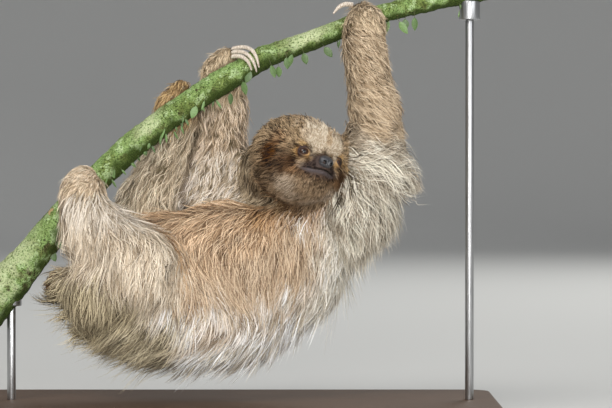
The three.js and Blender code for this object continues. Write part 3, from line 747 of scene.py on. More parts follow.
@dataclass(frozen=True)
class BarkFinish:
    """Bark under pale green lichen with white rims, and a darker green on its underside."""

    def material(self) -> Material:
        """Makes the material."""
        s = Shader("bark_lichen", Specular_IOR_Level=0.2)
        cover = s.tint()
        channels = s.add("ShaderNodeSeparateColor", Color=cover)
        upness, facing_down = channels.outputs[0], channels.outputs[1]
        patches = s.noise(95, 9, Roughness=0.62)
        fine = s.noise(520, 8, Roughness=0.7)
        grains = s.noise(1700, 5)
        bark = s.scale(
            fine, (0.35, 0.52, 0.68), (0.025, 0.02, 0.010), (0.10, 0.085, 0.04), (0.26, 0.23, 0.13)
        )
        dark_below = s.scale(
            grains, (0.35, 0.52, 0.68), (0.008, 0.014, 0.003), (0.04, 0.06, 0.012), (0.15, 0.19, 0.05)
        )
        greens = ((0.09, 0.135, 0.04), (0.24, 0.33, 0.135), (0.36, 0.45, 0.22), (0.52, 0.58, 0.36))
        lichen = s.scale(fine, (0.35, 0.47, 0.6, 0.72), *greens)
        total = s.tree.nodes.new("ShaderNodeMath")
        total.operation = "MULTIPLY_ADD"
        s.feed(total.inputs[0], upness)
        s.feed(total.inputs[1], 0.36)
        s.feed(total.inputs[2], patches)
        where = s.mask(total.outputs[0], 0.60, 0.68)
        colour = s.mix(where, bark, lichen)
        olive = s.mask(s.noise(42, 4), 0.45, 0.62, 0.8)
        dull = s.scale(
            fine, (0.35, 0.55, 0.7), (0.04, 0.055, 0.012), (0.17, 0.20, 0.06), (0.36, 0.38, 0.16)
        )
        colour = s.mix(olive, colour, dull)
        pale = s.mask(patches, 0.55, 0.585, 0.85)
        chalk = s.scale(
            fine, (0.35, 0.5, 0.68), (0.24, 0.30, 0.16), (0.44, 0.52, 0.33), (0.66, 0.70, 0.54)
        )
        colour = s.mix(s.times(pale, where), colour, chalk)
        specks = s.ramp(s.noise(600, 3), [(0.54, (1, 1, 1)), (0.62, (0.25, 0.25, 0.17))])
        colour = s.times(colour, specks)
        crust = s.times(channels.outputs[2], s.mask(fine, 0.42, 0.5))
        colour = s.mix(crust, colour, (0.62, 0.60, 0.46))
        # Darker green where the branch faces down.
        colour = s.mix(facing_down, colour, dark_below)
        scar = s.mask(s.noise(60, 2), 0.735, 0.76)
        colour = s.mix(s.times(scar, where), colour, (0.50, 0.31, 0.21))
        colour = s.times(colour, (0.87, 0.98, 0.75))
        height = s.mix(0.5, fine, patches)
        normal = s.bump(grains, 0.0006, 0.6, s.bump(height, 0.0035, 0.9))
        return s.finish(colour, s.between(fine, 0.75, 0.95), normal)


@dataclass(frozen=True)
class LeafFinish:
    """A small waxy leaf, paler along its midrib."""

    def material(self) -> Material:
        """Makes the material."""
        s = Shader("leaf_green", Specular_IOR_Level=0.4, Roughness=0.45)
        tint = s.tint()
        mottle = s.noise(700, 5)
        colour = s.times(tint, s.ramp(mottle, [(0.3, (0.7, 0.75, 0.6)), (0.7, (1.2, 1.15, 1.2))]))
        return s.finish(colour, None, s.bump(mottle, 0.0003, 0.6))


@dataclass(frozen=True)
class WoodFinish:
    """Dark stained wood with a satin lacquer, its grain along X."""

    def material(self) -> Material:
        """Makes the material."""
        s = Shader("stand_walnut", Specular_IOR_Level=0.25, Coat_Weight=0.08, Coat_Roughness=0.35)
        bend = s.noise(7, 3, s.stretched((1.2, 6.0, 6.0)))
        grain = s.noise(46, 9, s.stretched((0.5, 8.0, 8.0)), Roughness=0.6, Distortion=0.6)
        pores = s.noise(420, 4, s.stretched((0.12, 3.0, 3.0)))
        colour = s.scale(
            grain, (0.28, 0.5, 0.75), (0.030, 0.016, 0.009), (0.075, 0.042, 0.024), (0.15, 0.088, 0.050)
        )
        colour = s.mix(bend, colour, (0.10, 0.058, 0.034))
        holes = s.ramp(pores, [(0.3, (0.6, 0.6, 0.6)), (0.42, (0, 0, 0))])
        colour = s.mix(holes, colour, (0.018, 0.010, 0.006))
        return s.finish(colour, s.between(grain, 0.5, 0.66), s.bump(pores, 0.0004, 0.35))


@dataclass(frozen=True)
class SteelFinish:
    """Satin steel, brushed along the rod."""

    def material(self) -> Material:
        """Makes the material."""
        s = Shader("stand_steel", Metallic=1.0, Specular_IOR_Level=0.5)
        brush = s.noise(900, 4, s.stretched((1.0, 1.0, 0.03)))
        colour = s.ramp(brush, [(0.3, (0.36, 0.365, 0.37)), (0.7, (0.52, 0.525, 0.53))])
        return s.finish(colour, s.between(brush, 0.26, 0.42), s.bump(brush, 0.0001, 0.3))


# ------------------------------------------------------------------ meshes


def read(
    attributes: bpy.types.bpy_prop_collection, name: str, width: int = 3, kind: type = np.float64
) -> Array:
    """Reads one property of many mesh elements into an array."""
    flat = np.empty(len(attributes) * width, dtype=np.float32 if kind is np.float64 else np.int32)
    attributes.foreach_get(name, flat)
    return flat.reshape(-1, width).astype(kind) if width > 1 else flat.astype(kind)


def vertices_of(mesh: Mesh) -> Array:
    """A mesh's vertices, in millimetres."""
    return read(mesh.vertices, "co") / MM


def put_vertices(mesh: Mesh, points: Array) -> None:
    """Moves a mesh's vertices to places in millimetres."""
    mesh.vertices.foreach_set("co", (points * MM).astype(np.float32).ravel())


def edges_of(mesh: Mesh) -> Array:
    """The pairs of vertices that a mesh's edges join."""
    return read(mesh.edges, "vertices", 2, int)


def copy_of(solid: Object) -> BMesh:
    """A bmesh of a solid, with its doubled corners joined."""
    bm = bmesh.new()
    bm.from_mesh(solid.data)
    bmesh.ops.remove_doubles(bm, verts=bm.verts, dist=1e-6)
    return bm


def tree_of(points: Array) -> kdtree.KDTree:
    """A search tree over places, numbered in order."""
    tree = kdtree.KDTree(len(points))
    for i, point in enumerate(points.tolist()):
        tree.insert(point, i)
    tree.balance()
    return tree


def paint(mesh: Mesh, colours: Array) -> None:
    """Gives each vertex of a mesh a colour, under the name that the finishes read."""
    layer = mesh.color_attributes.new(TINT, "FLOAT_COLOR", "POINT")
    layer.data.foreach_set("color", np.c_[colours, np.ones(len(colours))].astype(np.float32).ravel())


def placed(name: str, data: bpy.types.ID) -> Object:
    """Puts a mesh, a lamp or a camera in the scene."""
    obj = bpy.data.objects.new(name, data)
    bpy.context.collection.objects.link(obj)
    return obj


def piece(
    name: str, mesh: Mesh, material: Material, smooth: bool = True
) -> Object:
    """Puts a finished mesh in the scene as a piece that rides on the part.

    Args:
        name: the piece's name.
        mesh: its mesh, already in place.
        material: its finish.
        smooth: whether it is shaded as one curved surface.

    Returns:
        The piece.
    """
    mesh.materials.clear()
    mesh.materials.append(material)
    mesh.polygons.foreach_set("use_smooth", np.full(len(mesh.polygons), smooth))
    obj = placed(name, mesh)
    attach(obj, "root")
    LOG.info("%s: %d faces", name, len(mesh.polygons))
    return obj


def mesh_of(name: str, bm: BMesh) -> Mesh:
    """A mesh with what a bmesh holds, which is then freed."""
    mesh = bpy.data.meshes.new(name)
    bm.to_mesh(mesh)
    bm.free()
    return mesh


def remeshed(name: str, bm: BMesh, voxel: float) -> Mesh:
    """Joins overlapping shells into one surface of even quads, and frees the bmesh.

    Args:
        name: the new mesh's name.
        bm: closed shells.
        voxel: the size of the quads, in millimetres.

    Returns:
        The outer surface alone.
    """
    obj = placed(name, mesh_of(name, bm))
    change = obj.modifiers.new("fuse", "REMESH")
    change.mode = "VOXEL"
    change.voxel_size = voxel * MM
    mesh = bpy.data.meshes.new_from_object(obj.evaluated_get(bpy.context.evaluated_depsgraph_get()))
    bpy.data.objects.remove(obj)
    return largest_shell(mesh)


def largest_shell(mesh: Mesh) -> Mesh:
    """The mesh without any but its largest connected shell."""
    edges = edges_of(mesh)
    label = np.arange(len(mesh.vertices))
    while True:
        low = np.minimum(label[edges[:, 0]], label[edges[:, 1]])
        new = label.copy()
        np.minimum.at(new, edges[:, 0], low)
        np.minimum.at(new, edges[:, 1], low)
        new = new[new]
        if (new == label).all():
            break
        label = new
    keep = label == np.bincount(label).argmax()
    bm = bmesh.new()
    bm.from_mesh(mesh)
    bm.verts.ensure_lookup_table()
    bmesh.ops.delete(bm, geom=[bm.verts[i] for i in np.flatnonzero(~keep)], context="VERTS")
    bm.to_mesh(mesh)
    bm.free()
    return mesh


def smoothed(values: Array, edges: Array, rounds: int, mask: Array | None = None) -> Array:
    """Averages values with their neighbours' along a mesh's edges, going half-way each time.

    Args:
        values: one row for each vertex.
        edges: pairs of vertices.
        rounds: how many times.
        mask: how much each vertex may change, from 0 to 1.

    Returns:
        The smoothed values.
    """
    flat = values.reshape(len(values), -1).astype(float)
    count = len(flat)
    ends = np.r_[edges[:, 0], edges[:, 1]]
    others = np.r_[edges[:, 1], edges[:, 0]]
    degree = np.maximum(np.bincount(ends, minlength=count), 1)
    weight = np.full(count, 0.5) if mask is None else 0.5 * mask
    for _ in range(rounds):
        sums = [np.bincount(ends, column[others], count) for column in flat.T]
        mean = np.stack(sums, axis=1) / degree[:, None]
        flat = flat + weight[:, None] * (mean - flat)
    return flat.reshape(values.shape)


@dataclass(frozen=True)
class Lids:
    """The opening between an eye's lids, as shares of the eye's radius, and the lids' own sizes."""

    wide: float = 0.76
    upper: float = 0.56
    lower: float = 0.50
    power: float = 1.7  # 2 is an ellipse, and less is more pointed
    thick: float = 0.75
    crease: float = 0.7
    behind: float = 1.6  # how far the skin is tucked in behind the eye's surface
    reach: float = 15


@dataclass
class Skin:
    """The one skin that stands for every solid of flesh, inside them by the coat's depth."""

    nodes: dict[str, Object]
    grow: float = 1.0
    voxel: float = 3.1
    finish: SkinFinish = SkinFinish()
    lids: Lids = Lids()
    mesh: Mesh = field(init=False)
    obj: Object = field(init=False)

    def shells(self) -> BMesh:
        """Copies the flesh, the eyes and the nose, a little swollen so that neighbours overlap.

        Returns:
            All the copies together. Hands and feet are drawn tight, so no slots are left between
            their toes.
        """
        whole = bmesh.new()
        names = [part.node for part in PARTS] + ["eye_left", "eye_right", "nose"]
        hooked = {part.node for part in EXTREMITIES}
        for name in names:
            shell = copy_of(self.nodes[name])
            if name in hooked:
                hull = bmesh.ops.convex_hull(shell, input=shell.verts)
                bmesh.ops.delete(shell, geom=hull["geom_interior"] + hull["geom_unused"], context="VERTS")
                inner = [f for f in hull["geom_holes"] if isinstance(f, bmesh.types.BMFace) and f.is_valid]
                bmesh.ops.delete(shell, geom=inner, context="FACES")
                bmesh.ops.recalc_face_normals(shell, faces=shell.faces)
            shell.normal_update()
            for vert in shell.verts:
                vert.co += vert.normal * self.grow * MM
            copy = mesh_of(name, shell)
            whole.from_mesh(copy)
            bpy.data.meshes.remove(copy)
        return whole

    def build(self) -> None:
        """Makes the skin, sculpts the face, and paints it."""
        self.mesh = remeshed("skin", self.shells(), self.voxel)
        self.sink()
        for reach, front in ((60, 20), (46, 35)):
            self.refine(lambda p, a=reach, b=front: (p[0] > b) & (np.abs(p[1]) < a))
        self.refine(self.near_features)
        self.soften_face()
        self.sculpt()
        points = vertices_of(self.mesh)
        labels = ANATOMY.label(points)
        tones = MARKINGS.tones(points, self.normals()[:, 2], labels)
        paint(self.mesh, self.tint(points, labels, tones))
        self.obj = piece("skin", self.mesh, self.finish.material())
        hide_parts(*(part.node for part in PARTS))

    def normals(self) -> Array:
        """The skin's outward directions at its vertices."""
        self.mesh.update()
        return read(self.mesh.vertex_normals, "vector")

    def edges(self) -> Array:
        """The pairs of vertices that the skin's edges join."""
        return edges_of(self.mesh)

    def move(self, points: Array) -> None:
        """Puts the skin's vertices at places in millimetres."""
        put_vertices(self.mesh, points)
        self.mesh.update()

    def sink(self) -> None:
        """Smooths the joined form, and moves it in from the coat's tips to the skin."""
        edges = self.edges()
        points = smoothed(vertices_of(self.mesh), edges, 10)
        self.move(points)
        normals = unit(smoothed(self.normals(), edges, 6))
        labels = ANATOMY.label(points)
        depth = np.array([part.depth for part in PARTS])[labels]
        local = HEAD.local(points)
        head = of_parts(labels, Part.HEAD)
        face = ease(14, 40, local[:, 0])
        depth = np.where(head, depth + face * (1.6 - depth), depth)
        depth = smoothed(depth, edges, 22) + self.grow * 0.6
        self.move(smoothed(points - normals * depth[:, None], edges, 4))

    def refine(self, chosen: Callable[[Array], Array]) -> None:
        """Halves the faces of the head whose middles are chosen."""
        bm = bmesh.new()
        bm.from_mesh(self.mesh)
        centres = HEAD.local(np.array([f.calc_center_median() for f in bm.faces]) / MM).T
        inside = np.linalg.norm(centres, axis=0) < HEAD_REACH
        picked = np.flatnonzero(chosen(centres) & inside)
        bm.faces.ensure_lookup_table()
        edges = {edge for i in picked for edge in bm.faces[i].edges}
        bmesh.ops.subdivide_edges(bm, edges=list(edges), cuts=1, use_grid_fill=True)
        bmesh.ops.triangulate(bm, faces=[f for f in bm.faces if len(f.verts) > 4])
        bm.to_mesh(self.mesh)
        bm.free()

    @staticmethod
    def near_features(local: Array) -> Array:
        """Which places are close to the eyes or the mouth."""
        folded = np.stack([local[0], np.abs(local[1]), local[2]])
        eye = np.linalg.norm(folded - EYE_SPOT[:, None], axis=0)
        lips = np.abs(local[2] - Skin.lip_line(local[1]))
        return (eye < 13) | ((lips < 5) & (np.abs(local[1]) < 35) & (local[0] > 32))

    @staticmethod
    def lip_line(l: Array) -> Array:
        """How high the mouth's line runs at a distance from the middle of the face."""
        return -14.0 + 1.3 * (np.abs(l) / MOUTH_HALF) ** 3

    def soften_face(self) -> None:
        """Rounds the face where its faces were halved."""
        points = vertices_of(self.mesh)
        local = HEAD.local(points)
        mask = ease(18, 26, local[:, 0]) * (np.linalg.norm(local, axis=1) < HEAD_REACH)
        self.move(smoothed(points, self.edges(), 5, mask))

    def sculpt(self) -> None:
        """Cuts the mouth, folds the muzzle, and sets the lids round the eyes."""
        points = vertices_of(self.mesh)
        normals = self.normals()
        local = HEAD.local(points)
        f, l, u = local.T
        front = ease(32, 38, f) * (np.linalg.norm(local, axis=1) < HEAD_REACH)
        below = u - self.lip_line(l)
        ends = ease(35, 30, np.abs(l))
        lift = -1.2 * bell(below, 0.6) * ends
        lift += 0.55 * bell(below - 2.2, 1.5) * ends
        lift += 0.7 * bell(below + 3.0, 2.2) * ends
        corner = np.hypot((np.abs(l) - MOUTH_HALF) / 2.4, (below + 0.3) / 2.6)
        lift -= 0.9 * bell(corner, 1.0)
        wing = np.abs(u - (-3.5 - 0.45 * (np.abs(l) - 12)))
        side = np.abs(l)
        lift -= 0.5 * bell(wing, 1.1) * ease(9, 13, side) * ease(25, 19, side)
        lift += 0.22 * drift(points, 2.6, 41) * ease(34, 22, side) * ease(8, 0, u)
        points = points + normals * (lift * front)[:, None]
        for side in (-1, 1):
            points = self.set_lids(points, side)
        self.move(points)

    def set_lids(self, points: Array, side: int) -> Array:
        """Wraps the skin round one eye as an upper and a lower lid.

        Args:
            points: the skin's vertices.
            side: -1 for the animal's right eye, 1 for its left.

        Returns:
            The vertices with the lids in place.
        """
        gaze, right, up = eye_axes(side)
        spot = HEAD.world(EYE_SPOT * [1, side, 1])
        off = points - spot
        radius = np.linalg.norm(off, axis=1)
        way = off / np.maximum(radius, 1e-6)[:, None]
        across, rise, ahead = way @ right, way @ up, way @ gaze
        tall = np.where(rise > 0, self.lids.upper, self.lids.lower)
        power = self.lids.power
        ring = (np.abs(across / self.lids.wide) ** power + np.abs(rise / tall) ** power) ** (1 / power)
        ring = np.where(ahead > 0, ring, 3.0)
        edge = EYE_RADIUS + self.lids.thick + self.lids.thick * bell(ring - 1.28, 0.17)
        crease = self.lids.crease * bell(ring - 1.62, 0.10) * (rise > -0.2)
        lid = edge - crease
        lid = np.where(ring < 1.0, EYE_RADIUS - self.lids.behind, lid)
        close = radius < self.lids.reach
        share = ease(2.35, 1.55, ring) * close
        share = np.where(ring < 1.2, close, share)
        return points + way * (share * (lid - radius))[:, None]

    def tint(self, points: Array, labels: Array, tones: Array) -> Array:
        """The skin's colours: the coat's own, darker, and bare lids, lips and muzzle, with painted shade
        along the mouth's slit.
        """
        colours = 0.55 * tones[:, 0] + 0.35 * tones[:, 1]
        local = HEAD.local(points)
        f, l, u = local.T
        head = of_parts(labels, Part.HEAD)
        bare = ease(1.2, 1.0, eye_ring(points)) * head
        colours += bare[:, None] * (np.array(LID) - colours)
        bare = ease(30, 18, np.abs(l)) * ease(40, 46, f) * ease(8, 0, u) * head
        bare *= ease(-34, -24, u)
        middle = 0.75 * tones[:, 1] + 0.25 * tones[:, 2]
        colours += bare[:, None] * (middle - colours)
        below = u - self.lip_line(l)
        lower = bell(below + 3.0, 2.3) * ease(27, 12, np.abs(l)) * bare
        colours += (0.7 * lower)[:, None] * (np.array(LIP) - colours)
        # Painted shade: the skin along the mouth's slit is darkened almost to black.
        mouth_slit_shade = bell(below, 0.95) * ease(37, 32, np.abs(l)) * ease(29, 34, f) * head
        colours *= 1 - 0.93 * mouth_slit_shade[:, None]
        return np.clip(colours, 0.004, 1)


def eye_axes(side: int) -> tuple[Array, Array, Array]:
    """Which way an eye looks, and its right and up, in the part's frame.

    Args:
        side: -1 for the animal's right eye, 1 for its left.

    Returns:
        Three directions at right angles.
    """
    gaze = unit(HEAD.turn @ np.array([0.86, 0.46 * side, 0.04]))
    tilt = HEAD.turn @ np.array([0.0, 0.07 * side, 1.0])
    right = unit(np.cross(gaze, tilt))
    return gaze, right, np.cross(right, gaze)


def eye_ring(points: Array) -> Array:
    """How far places are from the nearer eye's line of sight, where 1 is the dark rim of its lids."""
    ring = np.full(len(points), 9.0)
    for side in (-1, 1):
        gaze, right, up = eye_axes(side)
        off = points - HEAD.world(EYE_SPOT * [1, side, 1])
        here = np.hypot((side * (off @ right) - 0.8) / 7.5, (off @ up + 0.2) / 7.1)
        corner = np.hypot((side * (off @ right) - 7.4) / 3.3, (off @ up + 1.4) / 2.3)
        here = np.minimum(here, corner)
        ring = np.where(off @ gaze > 0, np.minimum(ring, here), ring)
    return ring


# ------------------------------------------------------------------ the coat


class Combed:
    """The skin as the coat's comb feels it: its lie, depth and hair length at any place near it."""

    def __init__(self, skin: Skin) -> None:
        """Reads the skin and lays out the coat's lie on it."""
        mesh = skin.mesh
        mesh.calc_loop_triangles()
        self.points = vertices_of(mesh)
        self.edges = skin.edges()
        self.normals = unit(smoothed(skin.normals(), self.edges, 3))
        self.triangles = read(mesh.loop_triangles, "vertices", 3, int)
        self.labels = ANATOMY.label(self.points)
        self.local = HEAD.local(self.points)
        self.head = of_parts(self.labels, Part.HEAD)
        self.lie = self.lay()
        self.depth = self.measured([part.depth for part in PARTS], 5.5, 1.3)
        self.length = self.measured([part.length for part in PARTS], 15.0, 4.0)
        self.length *= 1 + 0.22 * drift(self.points, 22, 5)
        self.cover = self.hairiness()
        self.grid_cell = 4.0
        self.build_grid()

    def measured(self, table: list[float], crown: float, face: float) -> Array:
        """A measure of the coat at each vertex, which changes smoothly between parts."""
        value = np.array(table)[self.labels]
        front = ease(10, 44, self.local[:, 0])
        muzzle = ease(40, 52, self.local[:, 0])
        on_head = crown + front * (0.55 * crown - crown)
        on_head = on_head + muzzle * (face - on_head)
        value = np.where(self.head, on_head, value)
        value = smoothed(value, self.edges, 16)
        return np.where(self.head & (self.local[:, 0] > 25), on_head, value)

    def lay(self) -> Array:
        """The way the hair runs along the skin at each vertex."""
        lie = np.zeros_like(self.points)
        x, z = self.points[:, 0], self.points[:, 2]
        for part, samples in LIE.items():
            chosen = of_parts(self.labels, part)
            total = np.zeros((chosen.sum(), 2))
            for cx, cz, dx, dz, reach in samples:
                weight = np.exp(-((x[chosen] - cx) ** 2 + (z[chosen] - cz) ** 2) / (2 * reach**2)) + 1e-9
                total += weight[:, None] * np.array([dx, dz])
            lie[chosen, 0], lie[chosen, 2] = unit(total).T
        belly = of_parts(self.labels, Part.TRUNK) * ease(0.2, 0.8, self.normals[:, 2])
        lie[:, 1] += 0.8 * belly * np.sign(self.points[:, 1] + 12)
        away = self.local - np.array([60.0, 0.0, -3.0])
        away[:, 2] += np.where(self.local[:, 2] > 12, 18.0, -6.0)
        swirl = drift(self.points, 30, 8)
        lie[self.head] = unit(away[self.head]) @ HEAD.turn.T
        lie = unit(smoothed(unit(lie), self.edges, 14))
        lie += 0.16 * np.cross(self.normals, lie) * swirl[:, None]
        lie -= self.normals * (lie * self.normals).sum(1)[:, None]
        return unit(lie)

    def hairiness(self) -> Array:
        """How thickly each vertex is haired, which is not at all on the nose, lids and lips."""
        cover = np.ones(len(self.points))
        f, l, u = self.local.T
        nose = np.linalg.norm((self.local - NOSE_SPOT) / [9, 11.5, 9], axis=1)
        cover[self.head & (nose < 1)] = 0
        cover = np.where(self.head, cover * ease(0.98, 1.15, eye_ring(self.points)), cover)
        lips = u - Skin.lip_line(l)
        lower = -1.6 - 3.4 * ease(30, 12, np.abs(l))
        mouth = self.head & (lips < 2.6) & (lips > lower) & (np.abs(l) < MOUTH_HALF) & (f > 33)
        cover[mouth] = 0
        bare = self.head * ease(20, 13, np.abs(l)) * ease(42, 50, f) * ease(4, -2, u)
        cover *= 1 - 0.75 * bare
        return cover

    def build_grid(self) -> None:
        """Notes the nearest vertex of the skin for every cell of space close to it."""
        cell = self.grid_cell
        self.low = self.points.min(0) - 9 * cell
        shape = np.ceil((self.points.max(0) + 9 * cell - self.low) / cell).astype(int)
        near = np.zeros(shape, dtype=bool)
        near[tuple(((self.points - self.low) / cell).astype(int).T)] = True
        for _ in range(6):
            for axis in range(3):
                near |= np.roll(near, 1, axis) | np.roll(near, -1, axis)
        tree = tree_of(self.points)
        cells = np.argwhere(near)
        centres = ((cells + 0.5) * cell + self.low).tolist()
        self.grid = np.full(shape, -1, dtype=np.int32)
        self.grid[tuple(cells.T)] = [tree.find(centre)[1] for centre in centres]

    def nearest(self, points: Array, before: Array) -> Array:
        """The skin's vertex nearest to each place, or the one given where a place is too far off."""
        spot = ((points - self.low) / self.grid_cell).astype(int)
        spot = np.clip(spot, 0, np.array(self.grid.shape) - 1)
        found = self.grid[tuple(spot.T)]
        return np.where(found < 0, before, found)


@dataclass(frozen=True)
class Hair:
    """How one piece of the coat grows."""

    strands: int
    joints: int  # lengths that each strand bends between
    width: float  # across a strand at its root
    lock: float = 5.0  # strands to a lock
    gather: float = 0.6  # how far a lock draws together at its tip
    curl: float = 0.6
    stray: float = 0.07  # share of locks that stand out from the coat
    stand: float = 7.0  # how far those stand out at their tips
    longer: float = 1.0
    under: float = 0.22  # share of strands that are broad, short and dark, under the rest
    sag: float = 0.07  # how far a lock hangs off an underside, as a share of its length
    fleck: float = 1.4  # how much locks differ in colour
    wisps: float = 0.16  # share of strands that run loose and pale over the rest


# How much broader than the rest the strands underneath and the loose wisps are.
UNDER_BROAD = 1.9
WISP_BROAD = 1.25


@dataclass(frozen=True)
class Strands:
    """Strands that have grown but have no faces yet."""

    joints: Array  # the places along each
    facing: Array  # the skin's direction at each of them
    near: Array  # the skin's vertex nearest to each root
    tone: Array  # from -1, dark, to 1, light
    broad: Array  # a factor on the width


class Side(Enum):
    """Which side of the animal a piece of coat is on."""

    NEAR = -1
    BOTH = 0
    FAR = 1


@dataclass(frozen=True)
class CoatPiece:
    """One joined mesh of locks over some parts of the animal."""

    name: str
    parts: tuple[Part, ...]
    hair: Hair
    side: Side = Side.BOTH
    where: Callable[[Array], Array] | None = None
    slot: str = "coat"
    seed: int = 1
    patch: float = 0.003  # the size of a strand's own place on the unwrapped skin

    def share(self, combed: Combed) -> Array:
        """How much of the piece grows at each vertex of the skin."""
        chosen = of_parts(combed.labels, *self.parts).astype(float)
        if self.side is not Side.BOTH:
            chosen *= (combed.points[:, 1] * self.side.value) >= 0
        if self.where is not None:
            chosen *= self.where(combed.points)
        return chosen * combed.cover

    def plant(self, combed: Combed, rng: np.random.Generator) -> tuple[Array, Array, Array]:
        """Scatters roots over the skin, the more thickly where the hair is short.

        Args:
            combed: the skin.
            rng: the source of every random draw.

        Returns:
            The roots, the skin's direction there, and the nearest vertex.
        """
        corners = combed.triangles
        weight = self.share(combed)[corners].mean(1)
        a, b, c = (combed.points[corners[:, i]] for i in range(3))
        area = 0.5 * np.linalg.norm(np.cross(b - a, c - a), axis=1)
        thick = 1 / np.sqrt(np.maximum(combed.length[corners].mean(1), 3))
        running = np.cumsum(area * weight * thick)
        pick = np.searchsorted(running, rng.uniform(0, running[-1], self.hair.strands))
        s, t = rng.uniform(size=(2, self.hair.strands, 1))
        s, t = np.where(s + t > 1, 1 - s, s), np.where(s + t > 1, 1 - t, t)
        roots = a[pick] * (1 - s - t) + b[pick] * s + c[pick] * t
        mix = np.stack([1 - s - t, s, t], axis=1)
        normals = unit((combed.normals[corners[pick]] * mix).sum(1))
        return roots, normals, corners[pick][np.arange(len(pick)), mix[:, :, 0].argmax(1)]

    def comb(self, combed: Combed, rng: np.random.Generator) -> Strands:
        """Grows each strand from its root along the coat's lie, in locks that move together."""
        hair = self.hair
        roots, normals, near = self.plant(combed, rng)
        count = len(roots)
        lead, lock = self.locks(roots, rng)
        locks = lock.max() + 1

        def each(shared: float, own: float) -> Array:
            """A random amount for each strand, partly shared by its lock."""
            return shared * rng.normal(size=locks)[lock] + own * rng.normal(size=count)

        under = rng.uniform(size=count) < hair.under
        under[lead] = False
        strays = (rng.uniform(size=locks) < hair.stray)[lock] & ~under
        wisps = (rng.uniform(size=count) < hair.wisps) & ~under
        rank = rng.uniform(0.3, 0.98, locks)[lock]
        fill = combed.depth[near] * rank * np.where(under, 0.45, rng.uniform(0.8, 1.05, count))
        fill = np.where(wisps, combed.depth[near] * rng.uniform(0.9, 1.12, count), fill)
        rise = np.where(wisps, 0.45, 0.75)
        length = combed.length[near] * hair.longer * np.clip(1 + each(0.14, 0.1), 0.55, 1.5)
        length *= np.where(under, 0.75, 1.0) * np.where(strays, 1.15, 1.0) * np.where(wisps, 1.25, 1.0)
        stand = np.where(strays, hair.stand * rng.uniform(0.4, 1.3, locks)[lock], 0.0)
        sag = hair.sag * rng.uniform(0.1, 1.9, locks)[lock]
        wander = each(0.15, 0.15) + 0.22 * wisps * rng.normal(size=count)
        phase = 2 * math.pi * rng.uniform(size=locks)[lock] + each(0.0, 0.3)
        first, point = near, roots
        path, facing = [roots - normals * 0.6], [normals]
        for joint in range(1, hair.joints + 1):
            t = joint / hair.joints
            normal, way = combed.normals[near], combed.lie[near]
            bend = wander + 0.42 * hair.curl * np.sin(phase + 5.0 * t)
            way = way + np.cross(normal, way) * bend[:, None] + np.array([0, 0, -0.3 * t])
            way = unit(way - normal * (way * normal).sum(1)[:, None])
            point = point + way * (length / hair.joints)[:, None]
            near = combed.nearest(point, near)
            normal = combed.normals[near]
            height = ((point - combed.points[near]) * normal).sum(1)
            hang = sag * length * t**1.6 * np.clip(0.1 - normal[:, 2], 0, 1)
            goal = fill * math.sin(t * math.pi / 2) ** rise + stand * t**1.5 + hang
            point = point + normal * (goal - height)[:, None]
            path.append(point)
            facing.append(normal)
        joints = self.gather(np.stack(path, axis=1), lead, under | strays | wisps, rng)
        tone = hair.fleck * each(0.66, 0.38) - 0.18 + 0.7 * (rank - 0.64) + 0.5 * strays + 1.0 * wisps
        tone = np.where(under, np.minimum(tone, 0) - 0.6, tone)
        broad = np.where(under, UNDER_BROAD, np.where(wisps, WISP_BROAD, 1.0))
        keep = clear_of_branch(joints)
        return Strands(joints[keep], np.stack(facing, axis=1)[keep], first[keep], tone[keep], broad[keep])

    def locks(self, roots: Array, rng: np.random.Generator) -> tuple[Array, Array]:
        """Sorts strands into locks by where they are rooted.

        Args:
            roots: where the strands are rooted.
            rng: the source of the choice of leaders.

        Returns:
            For each strand, the strand that leads its lock, and the lock's number.
        """
        leaders = rng.choice(len(roots), max(1, int(len(roots) / self.hair.lock)), replace=False)
        tree = tree_of(roots[leaders])
        lock = np.array([tree.find(root)[1] for root in roots.tolist()])
        return leaders[lock], lock

    def gather(self, joints: Array, lead: Array, loose: Array, rng: np.random.Generator) -> Array:
        """Draws each lock together towards its leader's tip."""
        steps = np.linspace(0, 1, joints.shape[1]) ** 1.2
        pull = self.hair.gather * rng.uniform(0.55, 1.0, len(joints)) * np.where(loose, 0.5, 1)
        pull *= np.linalg.norm(joints[lead, 0] - joints[:, 0], axis=1) < 16
        return joints + (joints[lead] - joints) * (pull[:, None] * steps[None])[..., None]

    def grow(self, combed: Combed, material: Material) -> Object:
        """Makes the piece as one mesh of thin tapering strands."""
        rng = np.random.default_rng(self.seed)
        strands = self.comb(combed, rng)
        joints = strands.joints
        count, stops = joints.shape[:2]
        run = unit(np.gradient(joints, axis=1))
        flat = unit(np.cross(run, strands.facing + 0.35 * rng.normal(size=(count, 1, 3))))
        taper = np.array([0.85, *(1.0 - 0.4 * np.linspace(0, 1, stops - 1)[:-1] ** 1.5), 0.0])
        width = 0.5 * self.hair.width * rng.uniform(0.75, 1.25, (count, 1, 1)) * strands.broad[:, None, None]
        edge = flat * width * taper[None, :, None]
        ladder = np.stack([joints - edge, joints + edge], axis=2)[:, :-1].reshape(count, -1, 3)
        mesh = self.mesh(np.concatenate([ladder, joints[:, -1:]], axis=1), stops)
        paint(mesh, self.colours(combed, strands, rng, stops).reshape(-1, 3))
        self.map(mesh, combed, joints[:, 0], strands.near, stops)
        return piece(self.name, mesh, material)

